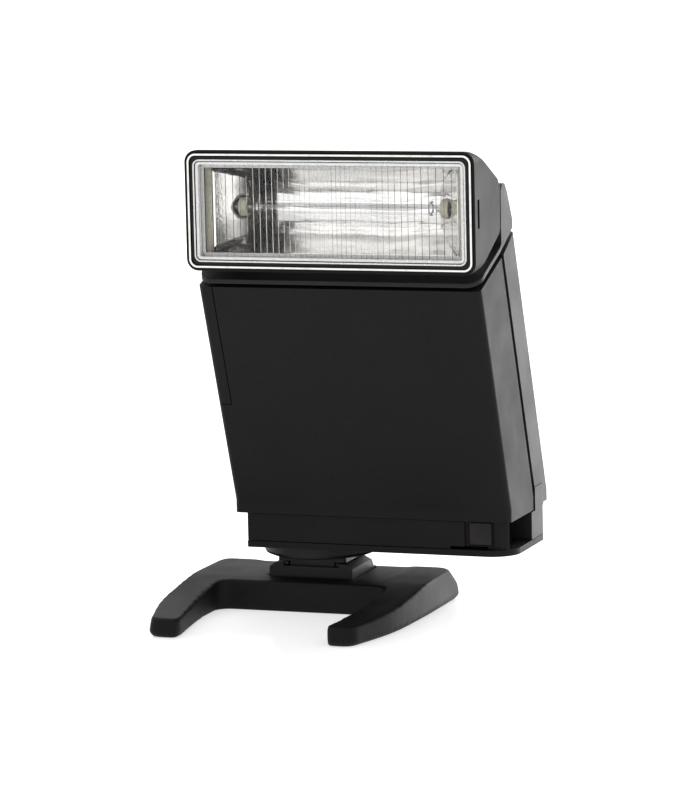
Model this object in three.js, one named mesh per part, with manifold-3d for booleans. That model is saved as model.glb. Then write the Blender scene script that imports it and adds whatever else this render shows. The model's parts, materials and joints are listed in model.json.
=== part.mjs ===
// Shoe-mount speedlight flash with a bounce head, standing on its small U-shaped table stand.
// Millimetres, +Z up, the flash faces -Y. The origin is under the middle of the whole assembly.
import * as THREE from 'three';
import { mergeVertices } from 'three/addons/utils/BufferGeometryUtils.js';
import Module from 'manifold-3d';

const wasm = await Module();
wasm.setup();

// ---------------------------------------------------------------- driving dimensions
const GAP = 0.3; // clearance between neighbouring pieces
const LEAN = THREE.MathUtils.degToRad(20.2); // the body leans forward by this angle
const TAN_LEAN = Math.tan(LEAN);

const HEAD = { halfWidth: 40, front: -19.4, back: 1.8, bottom: 97.3, top: 129.1, corner: 3.2 };
const HEAD_MID_Z = (HEAD.bottom + HEAD.top) / 2;
const TILT = { y: 7.6, z: 115.9, barrel: 3.4, pin: 1.9 }; // bounce axis, parallel to X

const BODY = { halfWidth: 39.3, front: 8.4, depth: 35, bottom: 27.9, bend: 31.4, height: 65, wall: 1.6 };
const SEAM = 21.4; // distance of the shell parting line behind the front face
const BODY_SLAB = BODY.depth * Math.cos(LEAN); // thickness square to the leaning front

const BASE = { left: -36.2, right: 38.8, front: 9.4, floor: 20.2, top: 27.6, wall: 1.5 };
const PLATE = { bottom: 18.3, top: 20 };
const SHOE = { x: -21.5, y: 28.6, width: 18.6, length: 18, bottom: 9.55, thick: 1.9, blockTop: 14.2 };
const RAILS = { bottom: 7.9, top: 12.6, front: 18.6, back: 38 };
const RING = { bottom: 14.5, top: 18, outer: 15.9, inner: 6.1 };
const STAND = { front: -28.8, back: 44.8, halfWidth: 35.51, plate: 8.9, shoulder: 9.6, arch: 12.2 };
const SHOE_SCREWS = [-5.5, 5.5]; // beside the middle of the shoe
const SHOE_SCREW_Y = 28;

const CELL = { radius: 7.1, length: 50.5, left: -36.3 };
const CELL_LEVELS = [39.4, 54];
const CELL_DEPTHS = [9, 23.6];

// The assembly is centred over its own footprint.
const CENTRE = new THREE.Vector3(8.45, -8, 0);

// ---------------------------------------------------------------- finishes
function finish(color, roughness, metalness = 0) {
  return new THREE.MeshStandardMaterial({ color, roughness, metalness });
}
const blackPlastic = finish(0x202022, 0.62);
const darkPlastic = finish(0x151516, 0.5);
const softBlack = finish(0x1b1b1d, 0.75);
const chrome = finish(0xd8dadc, 0.15, 1);
const mirror = finish(0xe4e6e8, 0.12, 1);
const steel = finish(0xb4b6b8, 0.35, 1);
const spring = finish(0x9fa2a6, 0.3, 1);
const clearPlastic = finish(0xe9f0ee, 0.1);
const tintedPlastic = finish(0x3a3032, 0.12);
const amber = finish(0xd9762a, 0.2);
const glass = finish(0xf2f4f2, 0.08);
const beige = finish(0xd9c99a, 0.6);
const boardGreen = finish(0x2c5a3a, 0.55);
const copper = finish(0xa8622e, 0.35, 0.8);
const cellJacket = finish(0x4a4d52, 0.4);
const foil = finish(0x23262c, 0.4);
const printedWhite = finish(0xcfcfca, 0.5);

// ---------------------------------------------------------------- solids and booleans
function solid(geometry) {
  const bare = geometry.clone();
  bare.deleteAttribute('normal');
  bare.deleteAttribute('uv');
  const merged = mergeVertices(bare, 1e-4);
  const vertProperties = new Float32Array(merged.attributes.position.array);
  const triVerts = new Uint32Array(merged.index.array);
  return new wasm.Manifold(new wasm.Mesh({ numProp: 3, vertProperties, triVerts }));
}

function geometryOf(body) {
  const mesh = body.getMesh();
  const geometry = new THREE.BufferGeometry();
  geometry.setAttribute('position', new THREE.BufferAttribute(mesh.vertProperties, 3));
  geometry.setIndex(new THREE.BufferAttribute(mesh.triVerts, 1));
  geometry.computeVertexNormals();
  return geometry;
}

const joined = (bodies) => bodies.reduce((whole, body) => whole.add(body));
const cut = (body, tools) => tools.reduce((rest, tool) => rest.subtract(tool), body);

// ---------------------------------------------------------------- outlines
const outline = (points) => new THREE.Shape(points.map(([a, b]) => new THREE.Vector2(a, b)));

// A rectangle with one radius for each corner: low-low, high-low, high-high, low-high.
function roundRect(x0, x1, y0, y1, radii) {
  const [a, b, c, d] = Array.isArray(radii) ? radii : [radii, radii, radii, radii];
  const shape = new THREE.Shape();
  shape.moveTo(x0 + a, y0);
  shape.lineTo(x1 - b, y0);
  shape.absarc(x1 - b, y0 + b, b, -Math.PI / 2, 0, false);
  shape.lineTo(x1, y1 - c);
  shape.absarc(x1 - c, y1 - c, c, 0, Math.PI / 2, false);
  shape.lineTo(x0 + d, y1);
  shape.absarc(x0 + d, y1 - d, d, Math.PI / 2, Math.PI, false);
  shape.lineTo(x0, y0 + a);
  shape.absarc(x0 + a, y0 + a, a, Math.PI, 1.5 * Math.PI, false);
  return shape;
}

// The head's front outline, moved inward by an inset.
function headOutline(inset) {
  const half = HEAD.halfWidth - inset;
  return roundRect(-half, half, HEAD.bottom + inset, HEAD.top - inset, Math.max(HEAD.corner - inset, 0.8));
}

// ---------------------------------------------------------------- prisms
function extruded(shape, depth, matrix, curveSegments = 5) {
  const geometry = new THREE.ExtrudeGeometry(shape, { depth, bevelEnabled: false, curveSegments });
  geometry.applyMatrix4(matrix);
  return solid(geometry);
}

const axisX = new THREE.Vector3(1, 0, 0);
const axisY = new THREE.Vector3(0, 1, 0);
const axisZ = new THREE.Vector3(0, 0, 1);
const towardsFront = new THREE.Vector3(0, -1, 0);
const basis = (a, b, c, x, y, z) => new THREE.Matrix4().makeBasis(a, b, c).setPosition(x, y, z);

// Outline in (y, z), drawn out along X.
const alongX = (shape, x0, x1) => extruded(shape, x1 - x0, basis(axisY, axisZ, axisX, x0, 0, 0));
// Outline in (x, z), drawn out along Y.
const alongY = (shape, y0, y1) => extruded(shape, y1 - y0, basis(axisX, axisZ, towardsFront, 0, y1, 0));
// Outline in (x, y), drawn out along Z.
const alongZ = (shape, z0, z1) => extruded(shape, z1 - z0, basis(axisX, axisY, axisZ, 0, 0, z0));

function box(x0, x1, y0, y1, z0, z1) {
  const geometry = new THREE.BoxGeometry(x1 - x0, y1 - y0, z1 - z0);
  geometry.translate((x0 + x1) / 2, (y0 + y1) / 2, (z0 + z1) / 2);
  return solid(geometry);
}

function rod(axis, radius, from, to, u, v, sides = 24) {
  const geometry = new THREE.CylinderGeometry(radius, radius, to - from, sides);
  const middle = (from + to) / 2;
  if (axis === 'x') geometry.rotateZ(Math.PI / 2).translate(middle, u, v);
  if (axis === 'y') geometry.translate(u, middle, v);
  if (axis === 'z') geometry.rotateX(Math.PI / 2).translate(u, v, middle);
  return solid(geometry);
}

// A turned piece: profile of [radius, height], closed on itself or on the axis.
function turned(axis, profile, u, v, sides = 32) {
  const geometry = new THREE.LatheGeometry(profile.map(([r, h]) => new THREE.Vector2(r, h)), sides);
  if (axis === 'x') geometry.rotateZ(-Math.PI / 2).translate(0, u, v);
  if (axis === 'y') geometry.translate(u, 0, v);
  if (axis === 'z') geometry.rotateX(Math.PI / 2).translate(u, v, 0);
  return solid(geometry);
}

// ---------------------------------------------------------------- the leaning body frame
// Inside this frame x is unchanged, y runs square into the leaning front and z runs up along it.
const LEAN_FRAME = new THREE.Matrix4().makeRotationX(LEAN).setPosition(0, BODY.front, BODY.bend);
const leaned = (body) => solid(geometryOf(body).applyMatrix4(LEAN_FRAME));

// A plan outline in (x, y) drawn up from z0 to z1, upright below the bend and leaning above it.
function leaningPrism(shape, z0, z1) {
  const steps = { depth: 2, steps: 2, bevelEnabled: false, curveSegments: 4 };
  const geometry = new THREE.ExtrudeGeometry(shape, steps);
  const places = geometry.attributes.position;
  const levels = [z0, BODY.bend, z1];
  for (let i = 0; i < places.count; i += 1) {
    const z = levels[Math.round(places.getZ(i))];
    const shift = Math.max(z - BODY.bend, 0) * TAN_LEAN;
    places.setXYZ(i, places.getX(i), places.getY(i) - shift, z);
  }
  return solid(geometry);
}

// Everything above the slanted top of the body, raised by a clearance.
function aboveTop(clearance) {
  const level = BODY.height + clearance;
  const side = outline([[-20, level], [22, level], [60, level + 5.5], [60, 140], [-20, 140]]);
  return leaned(alongX(side, -60, 60));
}

function bodyBlock(inset) {
  const half = BODY.halfWidth - inset;
  const [front, back] = [BODY.front + inset, BODY.front + BODY.depth - inset];
  const plan = roundRect(-half, half, front, back, Math.max(1.6 - inset, 0.4));
  return leaningPrism(plan, BODY.bottom + inset, 118).subtract(aboveTop(-inset));
}

function seamSlice(from, to) {
  return leaningPrism(roundRect(-60, 60, BODY.front + from, BODY.front + to, 0.1), 0, 125);
}

// The door takes the upper left side and wraps a little round the front edge.
const DOOR = { level: 29.8, wall: 1.6, lip: 3.8, back: 29.2 };
// Its hinge is at the rear edge, where the clearance is three times as wide.
function doorRegion(clearance) {
  const low = DOOR.level - clearance;
  const inner = -BODY.halfWidth + DOOR.wall + clearance;
  const side = box(-50, inner, -5, DOOR.back + 3 * clearance, low, 90);
  const lip = box(-50, -BODY.halfWidth + DOOR.lip + clearance, -5, DOOR.wall + clearance, low, 90);
  return leaned(side.add(lip));
}

// ---------------------------------------------------------------- table stand
const mirrored = (half) => [...half, ...half.map(([x, y, reach]) => [-x, y, reach]).reverse()];

// A polygon whose corners are rounded off, each given as [x, y, reach of the rounding].
function roundedOutline(corners) {
  const shape = new THREE.Shape();
  corners.forEach(([x, y, reach], i) => {
    const corner = new THREE.Vector2(x, y);
    const [start, end] = [i + corners.length - 1, i + 1].map((j) => {
      const [nextX, nextY] = corners[j % corners.length];
      return new THREE.Vector2(nextX, nextY).sub(corner).setLength(reach).add(corner);
    });
    if (i === 0) shape.moveTo(start.x, start.y);
    else shape.lineTo(start.x, start.y);
    shape.quadraticCurveTo(x, y, end.x, end.y);
  });
  return shape;
}

// A plan outline drawn up through levels of [z, scale across, scale ahead of y = 0, scale behind it].
function draftedPrism(shape, levels) {
  const steps = levels.length - 1;
  const settings = { depth: steps, steps, bevelEnabled: false, curveSegments: 5 };
  const geometry = new THREE.ExtrudeGeometry(shape, settings);
  const places = geometry.attributes.position;
  for (let i = 0; i < places.count; i += 1) {
    const [z, across, ahead, behind] = levels[Math.round(places.getZ(i))];
    const y = places.getY(i);
    places.setXYZ(i, places.getX(i) * across, y * (y < 0 ? ahead : behind), z);
  }
  return solid(geometry);
}

// A U lying on the table: two prongs towards the front, joined by a plate that carries the shoe.
function standBase() {
  const { front, back, halfWidth, plate, shoulder, arch } = STAND;
  const rim = [[28.9, front, 2.6], [34.3, -9, 9], [halfWidth, 17, 12], [halfWidth - 0.3, back, 4]];
  const foot = [[0, 0.972, 0.972, 0.978], [1.2, 1, 1, 1]];
  const levels = [...foot, [4.4, 0.99, 0.965, 0.985], [12, 0.955, 0.9, 0.79]];
  const block = draftedPrism(roundedOutline(mirrored(rim)), levels);
  const crest = [[back + 2, 7.4], [39, 9.1], [36, shoulder], [26, 9.3], [16, 8.8], [5, 7.7], [-5, 6.6]];
  const nose = [[-20, 5.5], [front - 2, 5]];
  const sideView = outline([[front - 2, 0], [back + 2, 0], ...crest, ...nose]);
  const humps = mirrored([[21, plate], [25, shoulder], [30, shoulder], [36.5, 8.5], [36.5, 0]]);
  const gap = [[24.6, arch, 4.5], [24.4, -2, 8], [20.8, -26.4, 1.6], [23.4, -31, 0.3]];
  const opening = alongZ(roundedOutline(mirrored(gap)), -1, 20);
  const pocket = box(-12.4, 12.4, RAILS.front - GAP, RAILS.back + GAP, RAILS.bottom - GAP, 12);
  const contactPath = box(-2.2, 2.2, RAILS.back - 1, 50, 8.6, 12);
  const holes = SHOE_SCREWS.map((x) => rod('z', 1.3, 3.4, 12, x, SHOE_SCREW_Y, 16));
  const shaped = block.intersect(alongX(sideView, -40, 40)).intersect(alongY(outline(humps), -40, 60));
  return cut(shaped, [opening, pocket, contactPath, ...holes]).translate([SHOE.x, 0, 0]);
}

// The accessory shoe: a floor with two overhanging rails, open towards the back.
function standShoe() {
  const { bottom, top, front, back } = RAILS;
  const sideView = outline([[front, bottom], [back, bottom], [back, 9.1], [36.6, 9.1], [34, top],
    [front + 0.4, top]]);
  const frontView = outline([[-12.1, bottom], [12.1, bottom], [12.1, 11.3], [10.3, top], [-10.3, top],
    [-12.1, 11.3]]);
  const stop = SHOE.y - SHOE.length / 2 - GAP;
  const slot = box(-9.65, 9.65, stop, 50, 9.3, 11.75);
  const throat = box(-6.9, 6.9, stop, 50, 11.2, 20);
  const frontNotch = box(-8, 8, 0, stop + 0.5, 11.6, 20);
  const contactGroove = box(-2.2, 2.2, 19, 50, 8.6, 10);
  const heads = SHOE_SCREWS.map((x) => rod('z', 2.3, 8.2, 20, x, SHOE_SCREW_Y, 20));
  const shanks = SHOE_SCREWS.map((x) => rod('z', 1.2, 0, 20, x, SHOE_SCREW_Y, 16));
  const cuts = [slot, throat, frontNotch, contactGroove, ...heads, ...shanks];
  const block = alongX(sideView, -13, 13).intersect(alongY(frontView, 0, 60));
  return cut(block, cuts).translate([SHOE.x, 0, 0]);
}

// A countersunk screw standing on -Z, its head flush at the given top.
function flatScrew(x, y, top, length) {
  const end = top - length;
  const profile = [[0, end], [0.85, end], [0.85, top - 0.8], [1.9, top - 0.6], [1.9, top], [0, top]];
  return turned('z', profile, x, y, 16);
}

// ---------------------------------------------------------------- hot shoe foot and locking ring
const footScrewPlaces = [0, 1, 2, 3].map((i) => {
  const angle = Math.PI / 4 + (i * Math.PI) / 2;
  return [SHOE.x + 7.1 * Math.cos(angle), SHOE.y + 7.1 * Math.sin(angle)];
});

// The foot: a sole under the rails, a neck between them, a block above them and a round stem.
function hotShoeFoot() {
  const half = SHOE.width / 2;
  const top = SHOE.bottom + SHOE.thick;
  const [front, back] = [SHOE.y - SHOE.length / 2, SHOE.y + SHOE.length / 2];
  const plan = roundRect(SHOE.x - half, SHOE.x + half, front, back, 1);
  const sole = alongZ(plan, SHOE.bottom, top);
  const neck = box(SHOE.x - 6.4, SHOE.x + 6.4, front + 0.5, back - 0.5, top - 0.5, RAILS.top + 1);
  const wide = half + 0.6;
  const blockPlan = roundRect(SHOE.x - wide, SHOE.x + wide, front, back, 1);
  const block = alongZ(blockPlan, RAILS.top + GAP, SHOE.blockTop);
  const stem = rod('z', 5.5, SHOE.blockTop - 0.5, 21, SHOE.x, SHOE.y, 28);
  const flange = rod('z', 8.6, PLATE.top + GAP, PLATE.top + 2, SHOE.x, SHOE.y, 28);
  const pinHole = rod('z', 1.5, 0, 14, SHOE.x, SHOE.y, 16).add(rod('z', 2, 10.9, 16, SHOE.x, SHOE.y, 16));
  const screwHoles = footScrewPlaces.map(([x, y]) => rod('z', 1.1, 20, 30, x, y, 12));
  return cut(joined([sole, neck, block, stem, flange]), [pinHole, ...screwHoles]);
}

function contactPin() {
  const profile = [[0, 9.05], [0.5, 9.05], [1.1, 9.5], [1.1, 11.3], [1.6, 11.3], [1.6, 13], [0, 13]];
  return turned('z', profile, SHOE.x, SHOE.y, 16);
}

function footScrew([x, y]) {
  const profile = [[0, 19.4], [0.75, 19.4], [0.75, 22.3], [1.5, 22.3], [1.4, 23.2], [0, 23.3]];
  return turned('z', profile, x, y, 12);
}

function lockingRing() {
  const { inner, outer, bottom, top } = RING;
  const underside = [[inner, bottom], [outer - 2, bottom], [outer - 0.6, bottom + 0.7]];
  const rim = [[outer, bottom + 1.5], [outer, top]];
  const profile = [...underside, ...rim, [inner, top], [inner, bottom]];
  return turned('z', profile, SHOE.x, SHOE.y, 36);
}

// ---------------------------------------------------------------- base under the body
const WINDOW = { left: 27.3, right: 33.5, low: 21.4, high: 27.3 };
// The window's end of the base stands back a little.
const CORNER = { left: 26.1, right: BASE.right - 0.4, front: BASE.front + 0.8 };
const SENSOR = [(WINDOW.left + WINDOW.right) / 2, (WINDOW.low + WINDOW.high) / 2];
const RECESS = { wall: 33.6, front: 11.4 };
// The rear part of the base, which reaches forward under the front shell from the seam.
const HEEL = { front: 26.8, back: 38.9, right: BASE.right + 0.8, seam: 30.2 };

function baseModule() {
  const back = HEEL.front - GAP;
  const main = roundRect(BASE.left, CORNER.left, BASE.front, back, [0.6, 0.1, 0.1, 0.1]);
  const corner = roundRect(CORNER.left - 1, CORNER.right, CORNER.front, back, [0.1, 2.4, 0.1, 0.1]);
  const block = alongZ(main, BASE.floor, BASE.top).add(alongZ(corner, BASE.floor, BASE.top));
  const inner = box(BASE.left + BASE.wall, RECESS.wall - BASE.wall, BASE.front + BASE.wall, 40, 0, 40);
  const sideRecess = box(RECESS.wall, 50, RECESS.front, 40, 0, 40);
  const { left, right, low, high } = WINDOW;
  const windowSeat = box(left - GAP, right + GAP, 0, CORNER.front + 0.4, low - GAP, high + GAP);
  const sensorHole = rod('y', 1.9, 0, 12, ...SENSOR, 16);
  const postGroove = box(right + GAP, right + 0.9, 0, CORNER.front + 0.6, 0, 40);
  const shadowGap = box(22, 50, 0, CORNER.front + 0.7, 0, BASE.floor + 0.7);
  return cut(block, [inner, sideRecess, windowSeat, sensorHole, postGroove, shadowGap]);
}

function basePlate() {
  const { left, right, front } = BASE;
  const plan = roundRect(left - 0.2, HEEL.right, front - 0.2, HEEL.back, [1, 7.5, 2, 1]);
  const stemHole = rod('z', 5.8, 0, 30, SHOE.x, SHOE.y, 28);
  const screwHoles = footScrewPlaces.map(([x, y]) => rod('z', 1.05, 19.15, 30, x, y, 12));
  return cut(alongZ(plan, PLATE.bottom, PLATE.top), [stemHole, ...screwHoles]);
}

function sensorWindow() {
  const pane = roundRect(WINDOW.left, WINDOW.right, WINDOW.low, WINDOW.high, 0.4);
  return alongY(pane, CORNER.front - 0.3, CORNER.front + 0.1);
}

const sensorCell = () => rod('y', 1.5, CORNER.front + 0.4, CORNER.front + 3.4, ...SENSOR, 16);

// ---------------------------------------------------------------- body shells
const screwPosts = [[34.4, 3.4], [34.4, 60.6], [-34.4, 3.4], [-34.4, 25.6]];

function frontShell() {
  const skin = bodyBlock(0).subtract(bodyBlock(BODY.wall)).intersect(seamSlice(-20, SEAM - 0.25));
  const posts = screwPosts.map(([x, h]) => leaned(rod('y', 2.4, 1, 19, x, h, 14)));
  const pilots = screwPosts.map(([x, h]) => leaned(rod('y', 1.2, 6, 40, x, h, 10)));
  return cut(joined([skin, ...posts]), [doorRegion(GAP), ...pilots]);
}

// The back shell carries the rear part of the base and the control openings.
const CONTROLS = { dial: [-13, 36], button: [24, 50], power: [24, 34], mode: [24, 18] };

function switchSlots() {
  return [CONTROLS.power, CONTROLS.mode].map(([x, h]) => box(x - 5, x + 5, 20, 60, h - 1.8, h + 1.8));
}

function backShell() {
  const skin = bodyBlock(0).subtract(bodyBlock(BODY.wall));
  const { left, wall } = BASE;
  const { front, back, right } = HEEL;
  const heel = alongZ(roundRect(left, right, front, back, [0.1, 0.1, 2, 2]), BASE.floor, 34);
  const heelHollow = box(left + wall, right - wall, front + wall, back - wall, 0, 36);
  const underFrontShell = box(-60, 60, 0, HEEL.seam, BASE.top, 60);
  const heelStep = box(-60, 60, back + 0.01, 60, 0, BODY.bottom + 0.7);
  const shadowGroove = bodyBlock(0).subtract(bodyBlock(1.1)).intersect(seamSlice(SEAM, SEAM + 1.9));
  const upper = skin.intersect(seamSlice(SEAM + 0.25, 60));
  const whole = upper.add(cut(heel, [bodyBlock(0.8), underFrontShell]));
  const cover = BODY_SLAB - BODY.wall;
  const scaleSeat = leaned(box(-31.5, 5.5, BODY_SLAB - 0.7, 50, 15.7, 56.3));
  const panelSeat = leaned(box(14.7, 33.3, BODY_SLAB - 0.7, 50, 9.7, 57.3));
  const footPocket = box(SHOE.x - 10.2, SHOE.x + 10.2, 20, back - 1, 0, 24.6);
  const spindle = leaned(rod('y', 2.2, 20, 50, ...CONTROLS.dial, 16));
  const buttonHole = leaned(rod('y', 3.6, 20, 50, ...CONTROLS.button, 20));
  const slots = switchSlots().map(leaned);
  const screwHoles = screwPosts.map(([x, h]) => leaned(rod('y', 1.3, 20, 50, x, h, 12)));
  const headSeats = screwPosts.map(([x, h]) => leaned(rod('y', 2.5, cover + 0.7, 50, x, h, 16)));
  const seats = [heelHollow, heelStep, shadowGroove, footPocket, scaleSeat, panelSeat, doorRegion(GAP)];
  return cut(whole, [...seats, spindle, buttonHole, ...slots, ...screwHoles, ...headSeats]);
}

function batteryDoor() {
  return bodyBlock(0).subtract(bodyBlock(DOOR.wall)).intersect(doorRegion(0));
}

// ---------------------------------------------------------------- pieces inside the leaning body
function cell(level, depth) {
  const { left, length, radius } = CELL;
  const end = left + length;
  const can = [[0, left], [5, left], [radius, left + 0.6], [radius, end - 2.2], [radius - 0.7, end - 1.4]];
  const nipple = [[2.7, end - 1.2], [2.5, end], [0, end]];
  return turned('x', [...can, ...nipple], depth, level, 22);
}

function batteryTray() {
  const floor = box(-36.4, 19.6, 2, 30.8, 30.1, 31.7);
  const bulkhead = box(18.2, 19.6, 2, 30.8, 30.1, 62.6);
  return floor.add(bulkhead);
}

// A battery contact spring wound about X, pressed to a cone.
function contactSpring(level, depth) {
  class Coil extends THREE.Curve {
    getPoint(t, target = new THREE.Vector3()) {
      const angle = t * 3 * 2 * Math.PI;
      const radius = 4.4 - 2 * t;
      return target.set(17.5 - 2.6 * t, depth + radius * Math.cos(angle), level + radius * Math.sin(angle));
    }
  }
  const wire = new THREE.Shape();
  wire.absarc(0, 0, 0.3, 0, 2 * Math.PI, false);
  return solid(new THREE.ExtrudeGeometry(wire, { steps: 36, extrudePath: new Coil(), curveSegments: 6 }));
}

function contactTab(level, depth) {
  const tongue = box(14.5, 17.9, depth - 3.5, depth + 3.5, level - 0.3, level + 0.3);
  const plate = box(17.4, 17.9, depth - 3.5, depth + 3.5, level - 3, level + 3);
  return tongue.add(plate);
}

const doorContact = () => box(-37.3, -36.7, 4, 28.6, 34, 59.5);

function capacitor() {
  const [left, right, radius] = [-12, 29, 11.6];
  const sleeve = [[0, left], [10.8, left], [radius, left + 0.8], [radius, right - 4]];
  const neck = [[11.1, right - 3.4], [11.1, right - 2.8], [radius, right - 2.2], [radius, right], [0, right]];
  return turned('x', [...sleeve, ...neck], 15.6, 15.5, 28);
}

function mainBoard() {
  const blank = box(-31.6, 31.6, 27.6, 29.2, 0.5, 28.6);
  return cut(blank, [box(-31.6, -28, 20, 40, -1, 4)]);
}

const controlBoard = () => box(21, 31.4, 24.6, 26.2, 32.6, 62.4);

function transformer() {
  const core = box(-30, -17, 6, 19, 5, 19);
  const windows = [box(-28, -25.2, 0, 30, 8, 16), box(-21.8, -19, 0, 30, 8, 16)];
  return cut(core, windows);
}

const winding = () => box(-27.7, -19.3, 3.4, 21.6, 8.3, 15.7).subtract(box(-25.5, -21.5, 5.7, 19.3, 0, 30));
const triggerCoil = () => rod('z', 3.4, 21.4, 28.6, -23, 20, 20);

function caseScrew([x, h]) {
  const under = BODY_SLAB - 0.7;
  const profile = [[0, 12], [0.9, 12], [0.9, under], [2.1, under], [2, under + 0.6], [0, under + 0.7]];
  return turned('y', profile, x, h, 14);
}

// ---------------------------------------------------------------- controls on the back
function scalePlate() {
  const blank = alongY(roundRect(-31.2, 5.2, 16, 56, 1.5), BODY_SLAB - 0.4, BODY_SLAB + 0.5);
  return cut(blank, [rod('y', 2.2, 0, 60, ...CONTROLS.dial, 16)]);
}

function calculatorDial() {
  const [x, h] = CONTROLS.dial;
  const [near, far] = [BODY_SLAB + 0.8, BODY_SLAB + 2.6];
  const profile = [[1.9, near], [17, near], [17, far - 0.6], [16.2, far], [1.9, far], [1.9, near]];
  return turned('y', profile, x, h, 40);
}

function dialScrew() {
  const [x, h] = CONTROLS.dial;
  const [end, far] = [BODY_SLAB - 1.8, BODY_SLAB + 2.9];
  const profile = [[0, end], [1.5, end], [1.5, far], [3.2, far], [2.8, far + 0.8], [0, far + 0.8]];
  return turned('y', profile, x, h, 18);
}

function controlPanel() {
  const blank = alongY(roundRect(15, 33, 10, 57, 1.5), BODY_SLAB - 0.4, BODY_SLAB + 0.4);
  return cut(blank, [rod('y', 3.4, 0, 60, ...CONTROLS.button, 20), ...switchSlots()]);
}

// The knob of a slide switch, at the left end of its slot.
const SWITCH_TRAVEL = 4.8;

function slider([x, h]) {
  const middle = x - SWITCH_TRAVEL / 2;
  const face = BODY_SLAB;
  const stem = box(middle - 1.8, middle + 1.8, face - 3.2, face + 1, h - 1.4, h + 1.4);
  const thumb = box(middle - 2.6, middle + 2.6, face + 0.75, face + 2.2, h - 2.4, h + 2.4);
  const lines = [-1.2, 0, 1.2].map((d) => middle + d);
  const grooves = lines.map((u) => box(u - 0.3, u + 0.3, face + 1.8, 60, h - 5, h + 5));
  return cut(stem.add(thumb), grooves);
}

function testButton() {
  const [end, top] = [BODY_SLAB - 3, BODY_SLAB + 1.6];
  const profile = [[1.6, end], [3.05, end], [3.05, top - 0.3], [2.7, top], [1.6, top], [1.6, end]];
  return turned('y', profile, ...CONTROLS.button, 24);
}

function readyLamp() {
  const [end, top] = [BODY_SLAB - 2.6, BODY_SLAB + 1.7];
  const profile = [[0, end], [1.25, end], [1.25, top - 0.5], [0.8, top - 0.1], [0, top]];
  return turned('y', profile, ...CONTROLS.button, 16);
}

// ---------------------------------------------------------------- yoke cap with the two ears
const EAR = { inner: 34.2, front: 4.7, top: 118.7 };

function yokeCap() {
  const band = [[-14.4, 93.4], [-9.5, 95.8], [3.6, 100.8], [15.2, 106.5]];
  const bandTop = [[3.5, 102], [-9.5, 97], [-14.4, 94.5]];
  const earBack = [[15.2, 107.6], [10.4, 116.2], [8.5, 118.4], [7.6, EAR.top]];
  const earFront = [[6.2, 118.4], [EAR.front, 117], [EAR.front, 103]];
  const bridge = [[15.2, 107.6], [14.6, 108.6], [11.6, 108.6], [9.5, 104.6]];
  const half = BODY.halfWidth;
  const middle = alongX(outline([...band, ...bridge, ...bandTop]), -half, half);
  const sideShape = outline([...band, ...earBack, ...earFront, ...bandTop]);
  const ears = alongX(sideShape, -half, -EAR.inner).add(alongX(sideShape, EAR.inner, half));
  const rounding = alongZ(roundRect(-half, half, -14.4, 15.3, [4, 4, 0.8, 0.8]), 80, 130);
  const level = BODY.height + GAP;
  const waistSide = outline([[2, level], [22, level], [30.4, level + 1.2], [30.4, 68], [2, 66.6]]);
  const waist = leaned(alongX(waistSide, -37, 37));
  const bores = [-1, 1].map((side) => tiltRod(side, EAR.inner - 1, 38.2, TILT.pin + GAP));
  return cut(joined([middle, ears]).intersect(rounding).add(waist), bores);
}

// A rod on the bounce axis, on the left side for -1 and on the right side for 1.
function tiltRod(side, near, far, radius) {
  const ends = side > 0 ? [near, far] : [-far, -near];
  return rod('x', radius, ...ends, TILT.y, TILT.z, 16);
}

const pivotPin = (side) => tiltRod(side, 24.4, 37.9, TILT.pin);

// ---------------------------------------------------------------- head
const LATCH = { front: -17.2, back: -15.7, low: 109.1, high: 116.6 };

function headShell() {
  const { front, back, bottom, top, halfWidth } = HEAD;
  const underside = [[front - 1, bottom], [-17.8, bottom], [-15.8, 98], [0.9, 106.2], [back, 107.2]];
  const upside = [[back, 118.6], [0.3, 120.5], [-17.4, top], [front - 1, top]];
  const outerSide = outline([...underside, ...upside]);
  const innerBottom = [[-30, 99.2], [-15.6, 99.2], [-0.6, 106.9], [0.2, 107.9]];
  const innerTop = [[0.2, 118], [-0.6, 119.4], [-15.7, 127.2], [-30, 127.2]];
  const innerSide = outline([...innerBottom, ...innerTop]);
  const outer = alongY(headOutline(0), front, back).intersect(alongX(outerSide, -50, 50));
  const cavity = alongY(headOutline(1.9), -25, back).intersect(alongX(innerSide, -50, 50));
  const rabbet = alongY(headOutline(0.65), -25, -18.4);
  const latches = box(-50, 50, LATCH.front, LATCH.back, LATCH.low, LATCH.high);
  const latchWalls = latches.subtract(box(-halfWidth + 3, halfWidth - 3, -30, 10, 90, 140));
  const reach = 33.8;
  const barrel = rod('x', TILT.barrel, -reach, reach, TILT.y, TILT.z, 24);
  const arm = box(-reach, reach, 1, TILT.y, 113, TILT.z + TILT.barrel - 0.3);
  const shell = cut(outer, [cavity, rabbet, latchWalls]);
  const bores = [-1, 1].map((side) => tiltRod(side, 24, 40, TILT.pin + GAP));
  return cut(joined([shell, arm, barrel]), bores);
}

const trimRing = () => alongY(headOutline(0.85), -19.9, -18.7).subtract(alongY(headOutline(1.4), -25, -10));

function lensFrame() {
  const flange = alongY(headOutline(1.65), -19.6, -18.7);
  const skirt = alongY(headOutline(2.2), -19, -15.8);
  const opening = alongY(headOutline(2.65), -30, -17);
  const ledge = alongY(headOutline(4.4), -30, 0);
  const ring = cut(flange.add(skirt), [opening, ledge]);
  const { front, back, low, high } = LATCH;
  const hook = box(37.5, 38.7, front + GAP, back - GAP, low + 0.4, high - 0.4);
  return joined([ring, hook, hook.mirror([1, 0, 0])]);
}

const fresnelLens = () => alongY(headOutline(2.95), -19.3, -17.3);

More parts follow.
